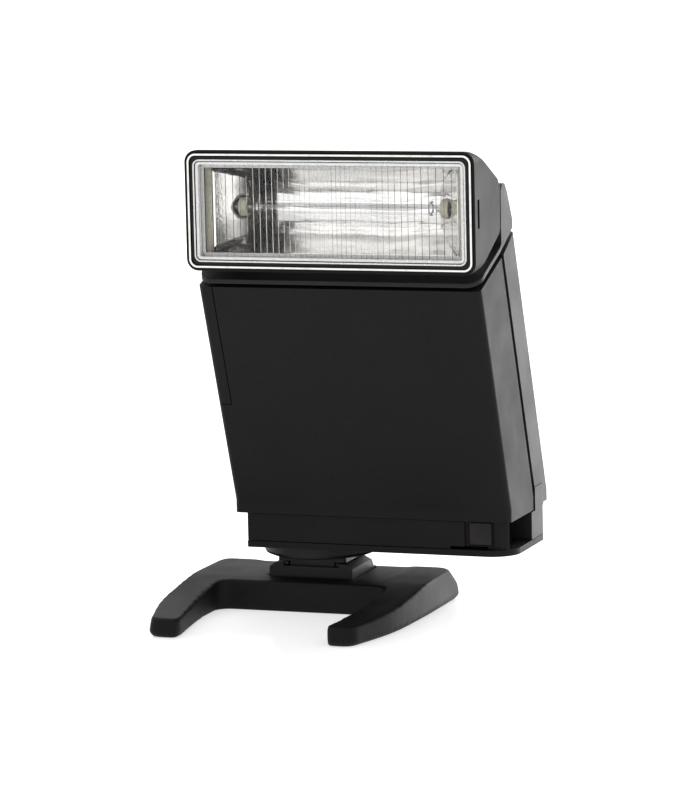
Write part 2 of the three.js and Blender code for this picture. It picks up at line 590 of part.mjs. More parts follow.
// The reflector trough is a parabola about the tube, in the (y, z) plane.
const TROUGH = { mouth: -15.4, vertex: -3.2, half: 12, sheet: 0.55, halfLength: 34.2 };
const FOCAL = TROUGH.half ** 2 / (4 * (TROUGH.vertex - TROUGH.mouth));
const TUBE = { y: -6.6, z: HEAD_MID_Z, radius: 1.7 };

function parabola(offset) {
  const points = [];
  const half = TROUGH.half + offset;
  const flatness = 4 * FOCAL * (half / TROUGH.half) ** 2;
  for (let i = -8; i <= 8; i += 1) {
    const rise = (half * i) / 8;
    points.push([TROUGH.vertex + offset - rise ** 2 / flatness, HEAD_MID_Z + rise]);
  }
  return points;
}

function reflector() {
  const outer = alongX(outline(parabola(TROUGH.sheet)), -TROUGH.halfLength, TROUGH.halfLength);
  const ahead = TROUGH.mouth - 5;
  const lips = [[ahead, HEAD_MID_Z + TROUGH.half], [ahead, HEAD_MID_Z - TROUGH.half]];
  const inner = alongX(outline([...parabola(0), ...lips]), -50, 50);
  const clip = box(-60, 60, TROUGH.mouth, 10, 80, 140);
  return outer.intersect(clip).subtract(inner);
}

// A flared end mirror: a slanted sheet trimmed to the inside of the trough.
function endMirror(side) {
  const [frontX, backX] = [33.9, 24.6];
  const plan = outline([[frontX, -15.2], [frontX + 0.6, -15.2], [backX + 0.6, -3], [backX, -3]]);
  const sheet = alongZ(plan, 90, 140);
  const behindMouth = box(-60, 60, TROUGH.mouth + 0.2, 10, 80, 140);
  const inside = alongX(outline(parabola(-GAP)), -50, 50).intersect(behindMouth);
  const hole = rod('x', TUBE.radius + 0.4, 15, 40, TUBE.y, TUBE.z, 16);
  const right = sheet.intersect(inside).subtract(hole);
  return side > 0 ? right : right.mirror([1, 0, 0]);
}

function xenonTube() {
  const { radius } = TUBE;
  const right = [[radius, 31.2], [0.5, 32], [0.5, 33.4], [0, 33.4]];
  const left = right.map(([r, x]) => [r, -x]).reverse();
  return turned('x', [...left, ...right], TUBE.y, TUBE.z, 18);
}

function tubeGrommet(side) {
  const profile = [[2, 30.4], [2.5, 30.4], [2.5, 32.4], [2, 32.4], [2, 30.4]];
  const right = turned('x', profile, TUBE.y, TUBE.z, 20);
  return side > 0 ? right : right.mirror([1, 0, 0]);
}

// ---------------------------------------------------------------- assembly
const speedlight = new THREE.Group();
const upright = new THREE.Group();
upright.position.copy(CENTRE);
speedlight.add(upright);
const leaning = new THREE.Group();
leaning.applyMatrix4(LEAN_FRAME);
upright.add(leaning);

function place(parent, name, body, material) {
  const mesh = new THREE.Mesh(geometryOf(body), material);
  mesh.name = name;
  parent.add(mesh);
}

place(upright, 'stand_base', standBase(), blackPlastic);
place(upright, 'stand_shoe', standShoe(), darkPlastic);
SHOE_SCREWS.forEach((x, i) => {
  place(upright, `shoe_screw_${i + 1}`, flatScrew(SHOE.x + x, SHOE_SCREW_Y, 9.2, 5), steel);
});

place(upright, 'hot_shoe_foot', hotShoeFoot(), darkPlastic);
place(upright, 'contact_pin', contactPin(), steel);
place(upright, 'locking_ring', lockingRing(), blackPlastic);
footScrewPlaces.forEach((spot, i) => place(upright, `foot_screw_${i + 1}`, footScrew(spot), steel));

place(upright, 'base_module', baseModule(), blackPlastic);
place(upright, 'base_plate', basePlate(), blackPlastic);
place(upright, 'sensor_window', sensorWindow(), tintedPlastic);
place(upright, 'sensor_cell', sensorCell(), glass);

place(upright, 'front_shell', frontShell(), blackPlastic);
place(upright, 'back_shell', backShell(), blackPlastic);
place(upright, 'battery_door', batteryDoor(), blackPlastic);
place(leaning, 'door_contact', doorContact(), spring);
place(leaning, 'battery_tray', batteryTray(), softBlack);

let cellNumber = 0;
for (const level of CELL_LEVELS) {
  for (const depth of CELL_DEPTHS) {
    cellNumber += 1;
    place(leaning, `battery_cell_${cellNumber}`, cell(level, depth), cellJacket);
    const sprung = cellNumber === 1 || cellNumber === 4;
    const contact = sprung ? contactSpring(level, depth) : contactTab(level, depth);
    place(leaning, sprung ? `contact_spring_${cellNumber}` : `contact_tab_${cellNumber}`, contact, spring);
  }
}

place(leaning, 'capacitor', capacitor(), foil);
place(leaning, 'main_board', mainBoard(), boardGreen);
place(leaning, 'control_board', controlBoard(), boardGreen);
place(leaning, 'transformer_core', transformer(), softBlack);
place(leaning, 'transformer_winding', winding(), copper);
place(leaning, 'trigger_coil', triggerCoil(), beige);
screwPosts.forEach((spot, i) => place(leaning, `case_screw_${i + 1}`, caseScrew(spot), steel));

place(leaning, 'scale_plate', scalePlate(), printedWhite);
place(leaning, 'calculator_dial', calculatorDial(), darkPlastic);
place(leaning, 'dial_screw', dialScrew(), steel);
place(leaning, 'control_panel', controlPanel(), darkPlastic);
place(leaning, 'power_switch', slider(CONTROLS.power), softBlack);
place(leaning, 'mode_selector', slider(CONTROLS.mode), softBlack);
place(leaning, 'test_button', testButton(), blackPlastic);
place(leaning, 'ready_lamp', readyLamp(), amber);

place(upright, 'yoke_cap', yokeCap(), blackPlastic);
place(upright, 'pivot_pin_left', pivotPin(-1), steel);
place(upright, 'pivot_pin_right', pivotPin(1), steel);

place(upright, 'head_shell', headShell(), blackPlastic);
place(upright, 'trim_ring', trimRing(), chrome);
place(upright, 'lens_frame', lensFrame(), darkPlastic);
place(upright, 'fresnel_lens', fresnelLens(), clearPlastic);
place(upright, 'reflector', reflector(), mirror);
place(upright, 'end_mirror_left', endMirror(-1), mirror);
place(upright, 'end_mirror_right', endMirror(1), mirror);
place(upright, 'xenon_tube', xenonTube(), glass);
place(upright, 'tube_grommet_left', tubeGrommet(-1), beige);
place(upright, 'tube_grommet_right', tubeGrommet(1), beige);

export default speedlight;
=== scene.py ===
"""Looks for a speedlight flash on its table stand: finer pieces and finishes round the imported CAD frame."""

import json
import math

import bmesh
import bpy
from mathutils import Matrix, Quaternion, Vector


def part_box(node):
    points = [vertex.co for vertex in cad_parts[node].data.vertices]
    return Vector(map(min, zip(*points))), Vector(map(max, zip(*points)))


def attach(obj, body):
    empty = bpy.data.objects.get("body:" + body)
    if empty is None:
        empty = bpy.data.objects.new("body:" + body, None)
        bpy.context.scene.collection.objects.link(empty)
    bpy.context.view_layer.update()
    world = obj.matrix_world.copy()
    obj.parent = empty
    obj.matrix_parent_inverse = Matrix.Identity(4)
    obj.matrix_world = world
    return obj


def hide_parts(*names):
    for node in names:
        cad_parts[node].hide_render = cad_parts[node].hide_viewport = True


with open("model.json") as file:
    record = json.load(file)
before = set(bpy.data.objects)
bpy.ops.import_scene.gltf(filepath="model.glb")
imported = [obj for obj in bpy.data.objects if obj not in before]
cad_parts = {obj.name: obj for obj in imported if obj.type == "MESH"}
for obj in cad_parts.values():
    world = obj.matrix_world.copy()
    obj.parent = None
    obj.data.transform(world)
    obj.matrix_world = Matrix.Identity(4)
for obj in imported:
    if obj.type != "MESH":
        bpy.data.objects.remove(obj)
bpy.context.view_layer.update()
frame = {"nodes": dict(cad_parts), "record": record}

# ---------------------------------------------------------------- driving values
MM = 0.001  # the scene is in metres and the sizes below are in millimetres
SLOT_OF = {part["node"]: part["material_slot"] for part in frame["record"]["subparts"]}
JOINTS = {joint["name"]: joint for joint in frame["record"]["behaviour"]["joints"]}
BACKWARDS = Vector(JOINTS["dial_turn"]["axis"]).normalized()  # square out of the leaning back
UP = Vector((0.0, 0.0, 1.0))

CAMERA_AIM = Vector((3.195, -0.673, 59.937))
CAMERA_AZIMUTH = 19.86
CAMERA_ELEVATION = 8.24
CAMERA_ROLL = -1.28
CAMERA_DISTANCE = 1055.04
CAMERA_LENS = 176.94


def corners(node):
    """The lowest and highest corners of a CAD node, in millimetres."""
    low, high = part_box(node)
    return Vector(low) / MM, Vector(high) / MM


# ---------------------------------------------------------------- material nodes
class Finish:
    """A Principled material whose nodes are added by short methods. Texture sizes are in millimetres.

    add, link and the methods that return an output only make nodes. colour, roughness and relief connect
    an output to the shader.
    """

    def __init__(self, name, **values):
        self.material = bpy.data.materials.new(name)
        self.material.use_nodes = True
        self.tree = self.material.node_tree
        self.shader = self.tree.nodes["Principled BSDF"]
        for socket, value in values.items():
            self.shader.inputs[socket.replace("_", " ")].default_value = value
        self.place = self.add("ShaderNodeTexCoord").outputs["Object"]

    def add(self, kind, **settings):
        node = self.tree.nodes.new(kind)
        for name, value in settings.items():
            setattr(node, name, value)
        return node

    def link(self, source, target):
        self.tree.links.new(source, target)

    def scaled_place(self, size):
        """Object coordinates in units of size, one number or three, in millimetres."""
        sizes = size if isinstance(size, tuple) else (size, size, size)
        mapping = self.add("ShaderNodeMapping")
        mapping.inputs["Scale"].default_value = [1 / (s * MM) for s in sizes]
        self.link(self.place, mapping.inputs["Vector"])
        return mapping.outputs["Vector"]

    def along(self, axis):
        """The position along an axis, 0 for X, 1 for Y and 2 for Z, in millimetres."""
        split = self.add("ShaderNodeSeparateXYZ")
        self.link(self.scaled_place(1.0), split.inputs[0])
        return split.outputs[axis]

    def noise(self, size, detail=2.0, roughness=0.5):
        texture = self.add("ShaderNodeTexNoise")
        texture.inputs["Scale"].default_value = 1.0
        texture.inputs["Detail"].default_value = detail
        texture.inputs["Roughness"].default_value = roughness
        self.link(self.scaled_place(size), texture.inputs["Vector"])
        return texture.outputs["Fac"]

    def cells(self, size, feature="F1"):
        texture = self.add("ShaderNodeTexVoronoi", feature=feature)
        texture.inputs["Scale"].default_value = 1.0
        self.link(self.scaled_place(size), texture.inputs["Vector"])
        return texture.outputs["Distance"]

    def ranged(self, value, low, high, to_low=0.0, to_high=1.0):
        """value between low and high, spread over to_low to to_high."""
        node = self.add("ShaderNodeMapRange")
        spread = (low, high, to_low, to_high)
        for socket, number in zip(("From Min", "From Max", "To Min", "To Max"), spread):
            node.inputs[socket].default_value = number
        self.link(value, node.inputs["Value"])
        return node.outputs["Result"]

    def math(self, operation, first, second):
        node = self.add("ShaderNodeMath", operation=operation)
        for socket, value in zip(node.inputs, (first, second)):
            if isinstance(value, (int, float)):
                socket.default_value = value
            else:
                self.link(value, socket)
        return node.outputs["Value"]

    def mixed(self, factor, first, second):
        """A colour between first and second, each a colour or an output. factor is an output."""
        node = self.add("ShaderNodeMix", data_type="RGBA")
        factor_socket, first_socket, second_socket = (node.inputs[i] for i in (0, 6, 7))
        for socket, value in ((factor_socket, factor), (first_socket, first), (second_socket, second)):
            if isinstance(value, tuple):
                socket.default_value = value
            else:
                self.link(value, socket)
        return node.outputs[2]

    def edge(self, radius):
        """About 1 on an edge or corner and 0 on open faces."""
        soft = self.add("ShaderNodeBevel", samples=4)
        soft.inputs["Radius"].default_value = radius * MM
        sharp = self.add("ShaderNodeNewGeometry")
        dot = self.add("ShaderNodeVectorMath", operation="DOT_PRODUCT")
        self.link(soft.outputs["Normal"], dot.inputs[0])
        self.link(sharp.outputs["Normal"], dot.inputs[1])
        return self.ranged(dot.outputs["Value"], 0.98, 0.85)

    def colour(self, output):
        self.link(output, self.shader.inputs["Base Color"])

    def roughness(self, output):
        self.link(output, self.shader.inputs["Roughness"])

    def relief(self, height, depth):
        """Bump from height, depth millimetres high."""
        node = self.add("ShaderNodeBump")
        node.inputs["Distance"].default_value = depth * MM
        self.link(height, node.inputs["Height"])
        self.link(node.outputs["Normal"], self.shader.inputs["Normal"])


def rgb(value, tint=(1.0, 1.0, 1.0)):
    """A grey of that value, tinted, with full alpha."""
    return (value * tint[0], value * tint[1], value * tint[2], 1.0)


def moulded_plastic(name, shade, rough, level, grain, depth):
    """Black injection-moulded plastic: spark-eroded grain, handled patches, dust, paler rubbed edges."""
    finish = Finish(name, Specular_IOR_Level=level)
    fine = finish.noise(grain, detail=3.0, roughness=0.6)
    base = finish.mixed(finish.ranged(fine, 0.35, 0.7), rgb(shade * 0.8), rgb(shade * 1.3, (1.0, 1.0, 1.03)))
    specks = finish.ranged(finish.noise(0.9, detail=1.0), 0.76, 0.8)
    dusty = finish.mixed(finish.math("MULTIPLY", specks, 0.25), base, rgb(shade * 6, (1.0, 0.97, 0.92)))
    handled = finish.ranged(finish.noise(3.0), 0.35, 0.6, 0.35, 1.0)
    rubbed = finish.math("MULTIPLY", finish.edge(0.35), handled)
    finish.colour(finish.mixed(rubbed, dusty, rgb(shade * 1.6, (1.0, 1.0, 1.02))))
    patches = finish.noise(17.0, detail=4.0, roughness=0.55)
    dull = finish.ranged(patches, 0.3, 0.7, rough - 0.05, rough + 0.06)
    finish.roughness(finish.math("SUBTRACT", dull, finish.math("MULTIPLY", rubbed, 0.12)))
    finish.relief(fine, depth)
    return finish.material


def worked_metal(name, colour, rough, scratch, depth):
    """Bare metal with fine scratches along X, duller patches and darker grime."""
    finish = Finish(name, Metallic=1.0)
    lines = finish.noise(scratch, detail=2.0)
    grime = finish.ranged(finish.noise(2.2, detail=3.0), 0.5, 0.75)
    dark = tuple(0.55 * channel for channel in colour)
    finish.colour(finish.mixed(finish.math("MULTIPLY", grime, 0.5), (*colour, 1.0), (*dark, 1.0)))
    finish.roughness(finish.ranged(lines, 0.3, 0.7, rough * 0.75, rough * 1.3))
    finish.relief(lines, depth)
    return finish.material


def tinted_window():
    """A smoke-coloured filter, glossy, with a few dust specks."""
    finish = Finish("smoke_window", Specular_IOR_Level=0.14)
    cloud = finish.noise(4.0, detail=3.0)
    specks = finish.ranged(finish.noise(0.35, detail=1.0), 0.74, 0.78)
    darker, paler = rgb(0.006, (1.0, 0.8, 0.85)), rgb(0.012, (1.0, 0.82, 0.85))
    tint = finish.mixed(finish.ranged(cloud, 0.3, 0.7), darker, paler)
    finish.colour(finish.mixed(finish.math("MULTIPLY", specks, 0.3), tint, rgb(0.12)))
    finish.roughness(finish.ranged(cloud, 0.3, 0.7, 0.08, 0.16))
    finish.relief(cloud, 0.01)
    return finish.material


def clear_plastic(name, ior, rough, tint, haze):
    """Clear plastic or glass with a slight haze and dust."""
    finish = Finish(name, Transmission_Weight=1.0, IOR=ior)
    cloud = finish.noise(6.0, detail=3.0)
    dust = finish.ranged(finish.noise(0.5, detail=1.0), 0.72, 0.78)
    pane = finish.mixed(finish.ranged(cloud, 0.3, 0.7), tint, rgb(0.97))
    finish.colour(finish.mixed(finish.math("MULTIPLY", dust, haze), pane, rgb(0.7, (1.0, 0.95, 0.88))))
    finish.roughness(finish.ranged(cloud, 0.3, 0.7, rough, rough * 2 + 0.01))
    finish.relief(cloud, 0.004)
    return finish.material


def frosted_edge():
    """The lens border, which carries light like an edge-lit sheet."""
    finish = Finish("lens_border", Transmission_Weight=0.3, IOR=1.49, Specular_IOR_Level=0.6)
    streak = finish.noise(1.4, detail=3.0)
    finish.colour(finish.mixed(finish.ranged(streak, 0.35, 0.7), rgb(0.98, (1.0, 1.0, 0.98)), rgb(0.86)))
    finish.roughness(finish.ranged(streak, 0.3, 0.7, 0.12, 0.3))
    finish.relief(streak, 0.02)
    return finish.material


def bright_sheet(name, shade, rough, painted_dark_from=None, painted_dark_to=None):
    """Bright anodised sheet with drawn ripples along X; from one place along X up to another it darkens to a
    patchy painted reflection of the black housing.
    """
    finish = Finish(name, Metallic=1.0)
    ripple = finish.noise((22.0, 0.8, 0.8), detail=4.0, roughness=0.6)
    haze = finish.noise((9.0, 3.0, 3.0), detail=3.0)
    sheet = finish.mixed(finish.ranged(haze, 0.35, 0.7), rgb(shade, (1.0, 0.985, 0.96)), rgb(shade * 0.85))
    # painted reflection: the black housing's reflection is painted dark and patchy into the sheet's colour
    # beyond one place along X
    if painted_dark_from is not None:
        patchy = finish.ranged(finish.noise((3.0, 2.0, 5.0), detail=4.0), 0.25, 0.42)
        painted_reflection = finish.math("MULTIPLY", finish.ranged(finish.along(0), painted_dark_from, painted_dark_to), patchy)
        sheet = finish.mixed(painted_reflection, sheet, rgb(0.05, (1.0, 0.9, 0.75)))
    finish.colour(sheet)
    finish.roughness(finish.ranged(ripple, 0.3, 0.7, rough, rough * 2.2))
    finish.relief(ripple, 0.02)
    return finish.material


def battery_jacket():
    """A cell's printed foil jacket: dark with one bright band and a worn foil shine."""
    finish = Finish("cell_jacket", Metallic=0.5, Coat_Weight=0.3)
    crease = finish.noise((6.0, 1.5, 1.5), detail=3.0)
    high = corners("battery_cell_1")[1]
    band = finish.ranged(finish.along(0), high.x - 14.0, high.x - 13.8)  # bright from 14 mm off the end
    dark = finish.mixed(finish.ranged(crease, 0.3, 0.7), rgb(0.05), rgb(0.09, (0.95, 1.0, 1.05)))
    finish.colour(finish.mixed(band, dark, rgb(0.5, (1.0, 0.72, 0.38))))
    finish.roughness(finish.ranged(crease, 0.3, 0.7, 0.22, 0.4))
    finish.relief(crease, 0.03)
    return finish.material


def shrink_sleeve():
    """The capacitor's dark blue sleeve, slightly puckered."""
    finish = Finish("shrink_sleeve", Specular_IOR_Level=0.5)
    pucker = finish.noise((1.2, 4.0, 4.0), detail=3.0)
    dark, pale = rgb(0.012, (0.8, 0.9, 1.5)), rgb(0.03, (0.8, 0.9, 1.4))
    finish.colour(finish.mixed(finish.ranged(pucker, 0.3, 0.7), dark, pale))
    finish.roughness(finish.ranged(pucker, 0.3, 0.7, 0.18, 0.34))
    finish.relief(pucker, 0.05)
    return finish.material


def circuit_laminate():
    """Green lacquer over copper tracks, with tinned pads."""
    finish = Finish("circuit_laminate", Specular_IOR_Level=0.5)
    tracks = finish.ranged(finish.cells((1.8, 1.8, 4.5), "DISTANCE_TO_EDGE"), 0.05, 0.09)
    pads = finish.ranged(finish.cells(2.6), 0.2, 0.16)
    lacquer = finish.mixed(tracks, rgb(0.13, (0.3, 1.0, 0.5)), rgb(0.055, (0.3, 1.0, 0.55)))
    finish.colour(finish.mixed(pads, lacquer, rgb(0.6, (1.0, 0.97, 0.9))))
    finish.roughness(finish.ranged(tracks, 0.0, 1.0, 0.24, 0.36))
    finish.relief(finish.math("SUBTRACT", pads, tracks), 0.03)
    return finish.material


def sintered_ferrite():
    """The transformer's core: dark grey, gritty and matt."""
    finish = Finish("sintered_ferrite", Specular_IOR_Level=0.35)
    grit = finish.noise(0.25, detail=4.0)
    finish.colour(finish.mixed(finish.ranged(grit, 0.35, 0.7), rgb(0.035), rgb(0.08)))
    finish.roughness(finish.ranged(grit, 0.3, 0.7, 0.5, 0.8))
    finish.relief(grit, 0.05)
    return finish.material


def wound_copper():
    """Enamelled wire lying turn beside turn, with painted shade darkening the grooves between the turns."""
    finish = Finish("wound_copper", Metallic=0.9)
    wave = finish.add("ShaderNodeTexWave", bands_direction="Z")
    wave.inputs["Scale"].default_value = 0.5
    wave.inputs["Distortion"].default_value = 0.6
    finish.link(finish.scaled_place(0.35), wave.inputs["Vector"])
    turns = wave.outputs["Fac"]
    # painted shade: the colour is darker where the turns sink into the grooves between them
    finish.colour(finish.mixed(turns, rgb(0.12, (1.0, 0.4, 0.2)), rgb(0.5, (1.0, 0.42, 0.2))))
    finish.roughness(finish.ranged(turns, 0.0, 1.0, 0.5, 0.25))
    finish.relief(turns, 0.1)
    return finish.material


def waxy(name, shade, tint, rough, grain):
    """A soft cream-coloured material, slightly mottled."""
    finish = Finish(name, Specular_IOR_Level=0.4)
    mottle = finish.noise(grain, detail=4.0)
    stain = finish.ranged(finish.noise(5.0, detail=2.0), 0.5, 0.8)
    base = finish.mixed(finish.ranged(mottle, 0.3, 0.7), rgb(shade, tint), rgb(shade * 0.8, tint))
    finish.colour(finish.mixed(finish.math("MULTIPLY", stain, 0.4), base, rgb(shade * 0.5, (1.0, 0.85, 0.6))))
    finish.roughness(finish.ranged(mottle, 0.3, 0.7, rough, rough + 0.15))
    finish.relief(mottle, 0.02)
    return finish.material


def printing_ink():
    """Off-white pad-printed ink, slightly uneven."""
    finish = Finish("printing_ink", Specular_IOR_Level=0.3)
    patchy = finish.noise(0.6, detail=3.0)
    finish.colour(finish.mixed(finish.ranged(patchy, 0.35, 0.75), rgb(0.72), rgb(0.5, (1.0, 0.98, 0.94))))
    finish.roughness(finish.ranged(patchy, 0.3, 0.7, 0.45, 0.65))
    finish.relief(patchy, 0.006)
    return finish.material


def amber_dome():
    """The ready lamp's translucent amber plastic."""
    finish = Finish("amber_dome", Transmission_Weight=0.25, IOR=1.5, Specular_IOR_Level=0.6)
    cloud = finish.noise(1.5, detail=3.0)
    bright, deep = rgb(0.8, (1.0, 0.3, 0.04)), rgb(0.55, (1.0, 0.25, 0.03))
    finish.colour(finish.mixed(finish.ranged(cloud, 0.3, 0.7), bright, deep))
    finish.roughness(finish.ranged(cloud, 0.3, 0.7, 0.1, 0.2))
    finish.relief(cloud, 0.01)
    return finish.material


# ---------------------------------------------------------------- finishes
# name, shade, roughness, specular level, size of the grain, depth of the relief
satin_black = moulded_plastic("satin_black", 0.0055, 0.5, 0.11, 0.4, 0.028)
rear_black = moulded_plastic("rear_black", 0.0065, 0.5, 0.27, 0.4, 0.03)
deep_black = moulded_plastic("deep_black", 0.005, 0.42, 0.2, 0.2, 0.006)
dark_plate = moulded_plastic("dark_plate", 0.012, 0.38, 0.3, 0.15, 0.004)
# name, colour, roughness, size of the scratches, depth of the relief
screw_steel = worked_metal("screw_steel", (0.4, 0.4, 0.41), 0.36, (1.6, 0.2, 0.2), 0.01)
pin_steel = worked_metal("pin_steel", (0.55, 0.55, 0.56), 0.25, (0.2, 1.5, 1.5), 0.006)
brass = worked_metal("contact_metal", (0.78, 0.68, 0.42), 0.3, (0.3, 1.2, 1.2), 0.008)
chrome = worked_metal("bright_foil", (0.72, 0.71, 0.68), 0.12, (3.0, 0.5, 0.5), 0.004)
# name, index of refraction, roughness, tint, how much the dust shows
clear_lens = clear_plastic("clear_lens", 1.25, 0.0, rgb(0.985), 0.25)
tube_glass = clear_plastic("tube_glass", 1.47, 0.0, rgb(0.99), 0.05)
sensor_glass = clear_plastic("sensor_dome", 1.5, 0.05, rgb(0.9, (0.95, 1.0, 1.05)), 0.2)
lens_border = frosted_edge()
cream = waxy("cream_silicone", 0.66, (1.0, 0.93, 0.74), 0.45, 1.2)
coil_wax = waxy("coil_wax", 0.6, (1.0, 0.85, 0.55), 0.5, 0.8)
ink = printing_ink()

MIRROR_BACK = corners("end_mirror_left")[1].x  # the inner end of the left mirror
# the trough's left end and the inner end of the left mirror carry a painted dark reflection of the housing
trough_sheet = bright_sheet("trough_sheet", 0.95, 0.09, MIRROR_BACK + 4.7, MIRROR_BACK + 3.5)
painted_reflection_sheet = bright_sheet("painted_reflection_sheet", 0.95, 0.05, MIRROR_BACK - 5.0, MIRROR_BACK - 2.5)
clean_sheet = bright_sheet("clean_sheet", 0.95, 0.05)

FINISH_OF_SLOT = {
    "satin_black_plastic": satin_black, "deep_black_plastic": deep_black, "screw_steel": screw_steel,
    "pin_steel": pin_steel, "contact_brass": brass, "tinted_window": tinted_window(),
    "sensor_glass": sensor_glass, "cell_can": battery_jacket(), "capacitor_sleeve": shrink_sleeve(),
    "circuit_board": circuit_laminate(), "ferrite": sintered_ferrite(), "copper_winding": wound_copper(),
    "coil_former": coil_wax, "printed_plate": dark_plate, "amber_lamp": amber_dome(),
    "bright_trim": chrome, "clear_lens": clear_lens, "mirror_sheet": clean_sheet, "tube_glass": tube_glass,
    "grommet_rubber": cream,
}
FINISH_OF_NODE = {"back_shell": rear_black, "yoke_cap": rear_black, "control_panel": dark_plate}


def finish_of(node):
    """A node's own finish if it has one, else the finish of its slot."""
    return FINISH_OF_NODE.get(node, FINISH_OF_SLOT[SLOT_OF[node]])


def finish_cad_nodes():
    for node in SLOT_OF:
        for holder in frame["nodes"][node].material_slots:
            holder.material = finish_of(node)


# ---------------------------------------------------------------- making pieces
def piece(name, mesh, node, material, *replaced):
    """A new object on the node's body, with the given material, standing for any nodes named."""
    bodies = frame["record"]["behaviour"]["bodies"]
    body = next(body for body, members in bodies.items() if node in members)
    thing = bpy.data.objects.new(name, mesh)
    bpy.context.scene.collection.objects.link(thing)
    mesh.materials.append(material)
    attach(thing, body)
    if replaced:
        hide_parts(*replaced)
    return thing


def shade_smooth(thing):
    for polygon in thing.data.polygons:
        polygon.use_smooth = True


def smooth_edges(thing, width, angle=32.0):
    """Rounds the edges sharper than angle and shades the curved stretches smoothly."""
    shade_smooth(thing)
    bevel = thing.modifiers.new("rounding", "BEVEL")
    bevel.width = width * MM
    bevel.segments = 2
    bevel.limit_method = "ANGLE"
    bevel.angle_limit = math.radians(angle)
    bevel.miter_outer = "MITER_ARC"
    bevel.use_clamp_overlap = True
    shading = thing.modifiers.new("shading", "WEIGHTED_NORMAL")
    shading.keep_sharp = False
    shading.weight = 80


def own_mesh(node):
    """The node's triangles welded and its flat faces joined, as a new mesh."""
    bm = bmesh.new()
    bm.from_mesh(frame["nodes"][node].data)
    bmesh.ops.remove_doubles(bm, verts=bm.verts, dist=0.002 * MM)
    bmesh.ops.dissolve_limit(bm, angle_limit=math.radians(0.6), verts=bm.verts, edges=bm.edges)
    mesh = bpy.data.meshes.new(f"{node}_shape")
    bm.to_mesh(mesh)
    bm.free()
    return mesh


def rounded(node, width, angle=32.0):
    """The CAD node's shape with rounded edges, standing for the node."""
    thing = piece(f"{node}_rounded", own_mesh(node), node, finish_of(node), node)
    smooth_edges(thing, width, angle)


def built(name, bm, place, node, material, *replaced, width=0.0):
    """A piece from a mesh drawn in millimetres, put at place, with its edges rounded by width."""
    bmesh.ops.recalc_face_normals(bm, faces=bm.faces)
    mesh = bpy.data.meshes.new(name)
    bm.to_mesh(mesh)
    bm.free()
    mesh.transform(Matrix.Scale(MM, 4) @ place)
    thing = piece(name, mesh, node, material, *replaced)
    if width:
        smooth_edges(thing, width)
    return thing


def turned(profile, steps=48, closed=False):
    """A shape turned about Z. A point is (radius, height) or (radius, height, depth of its grooves)."""
    bm = bmesh.new()
    rings = []
    for radius, height, *groove in profile:
        if radius == 0:
            rings.append([bm.verts.new((0, 0, height))] * steps)
            continue
        ring = []
        for i in range(steps):
            angle = math.tau * i / steps
            reach = radius - (groove[0] if groove and i % 4 > 1 else 0.0)  # two steps in four are grooved
            ring.append(bm.verts.new((reach * math.cos(angle), reach * math.sin(angle), height)))
        rings.append(ring)
    following = rings[1:] + rings[:1] if closed else rings[1:]
    for low, high in zip(rings, following):
        for i in range(steps):
            j = (i + 1) % steps
            corner_list = list(dict.fromkeys((low[i], low[j], high[j], high[i])))
            if len(corner_list) > 2:
                bm.faces.new(corner_list)
    return bm


def prism(bm, outline, low, high):
    """An outline in (x, y) drawn along Z."""
    bottom = [bm.verts.new((x, y, low)) for x, y in outline]
    top = [bm.verts.new((x, y, high)) for x, y in outline]
    bm.faces.new(bottom)
    bm.faces.new(top)
    for i in range(len(outline)):
        j = (i + 1) % len(outline)
        bm.faces.new((bottom[i], bottom[j], top[j], top[i]))


def seat(node, outward):
    """The directions, as a matrix, and the place of a turned node's outer end: Z outward, Y up."""
    points = [vertex.co / MM for vertex in frame["nodes"][node].data.vertices]
    middle = sum(points, Vector()) / len(points)
    end = middle + outward * max(outward.dot(point - middle) for point in points)
    upward = outward.cross(Vector((-1.0, 0.0, 0.0))).normalized()
    sideways = upward.cross(outward)
    return Matrix((sideways, upward, outward)).transposed().to_4x4(), end


def seated(node, outward):
    """The same seat as one matrix."""
    turn, end = seat(node, outward)
    return Matrix.Translation(end) @ turn


# ---------------------------------------------------------------- body, head and stand shapes
ROUNDING = {  # width of the rounding on each node's edges
    "head_shell": 0.3,
    "front_shell": 0.14,
    "battery_door": 0.14,
    "yoke_cap": 0.25,
    "base_module": 0.1,
    "base_plate": 0.1,
    "stand_shoe": 0.15,
    "lens_frame": 0.12,
    "hot_shoe_foot": 0.12,
    "control_panel": 0.15,
    "scale_plate": 0.15,
    "power_switch": 0.15,
    "mode_selector": 0.15,
    "trim_ring": 0.15,
    "battery_tray": 0.2,
    "transformer_core": 0.3,
    "transformer_winding": 0.5,
    "capacitor": 0.2,
    "trigger_coil": 0.3,
    "main_board": 0.1,
    "control_board": 0.1,
    "door_contact": 0.1,
    "sensor_window": 0.08,
    "contact_pin": 0.1,
    "pivot_pin_left": 0.2,
    "pivot_pin_right": 0.2,
    **{f"battery_cell_{number}": 0.25 for number in (1, 2, 3, 4)},
    "contact_tab_2": 0.08,
    "contact_tab_3": 0.08,
}
WIRE_ROUNDING = 0.03
WIRE_ANGLE = 80.0  # more than the angle between two facets of a spring's wire


def round_shells():
    """Rounds the edges of the plainer nodes. The back shell stays as it is, for the sake of its slots."""
    for node, width in ROUNDING.items():
        rounded(node, width)
    for spring in ("contact_spring_1", "contact_spring_4"):
        rounded(spring, WIRE_ROUNDING, WIRE_ANGLE)


def soft_stand():
    """The stand is one thick moulding, so all its edges are rounded by remeshing and smoothing."""
    thing = piece("stand_moulding", own_mesh("stand_base"), "stand_base", satin_black, "stand_base")
    remesh = thing.modifiers.new("even_mesh", "REMESH")
    remesh.mode = "VOXEL"
    remesh.voxel_size = 0.4 * MM
    remesh.use_smooth_shade = True
    smooth = thing.modifiers.new("soft_edges", "SMOOTH")
    smooth.factor = 0.5
    smooth.iterations = 26


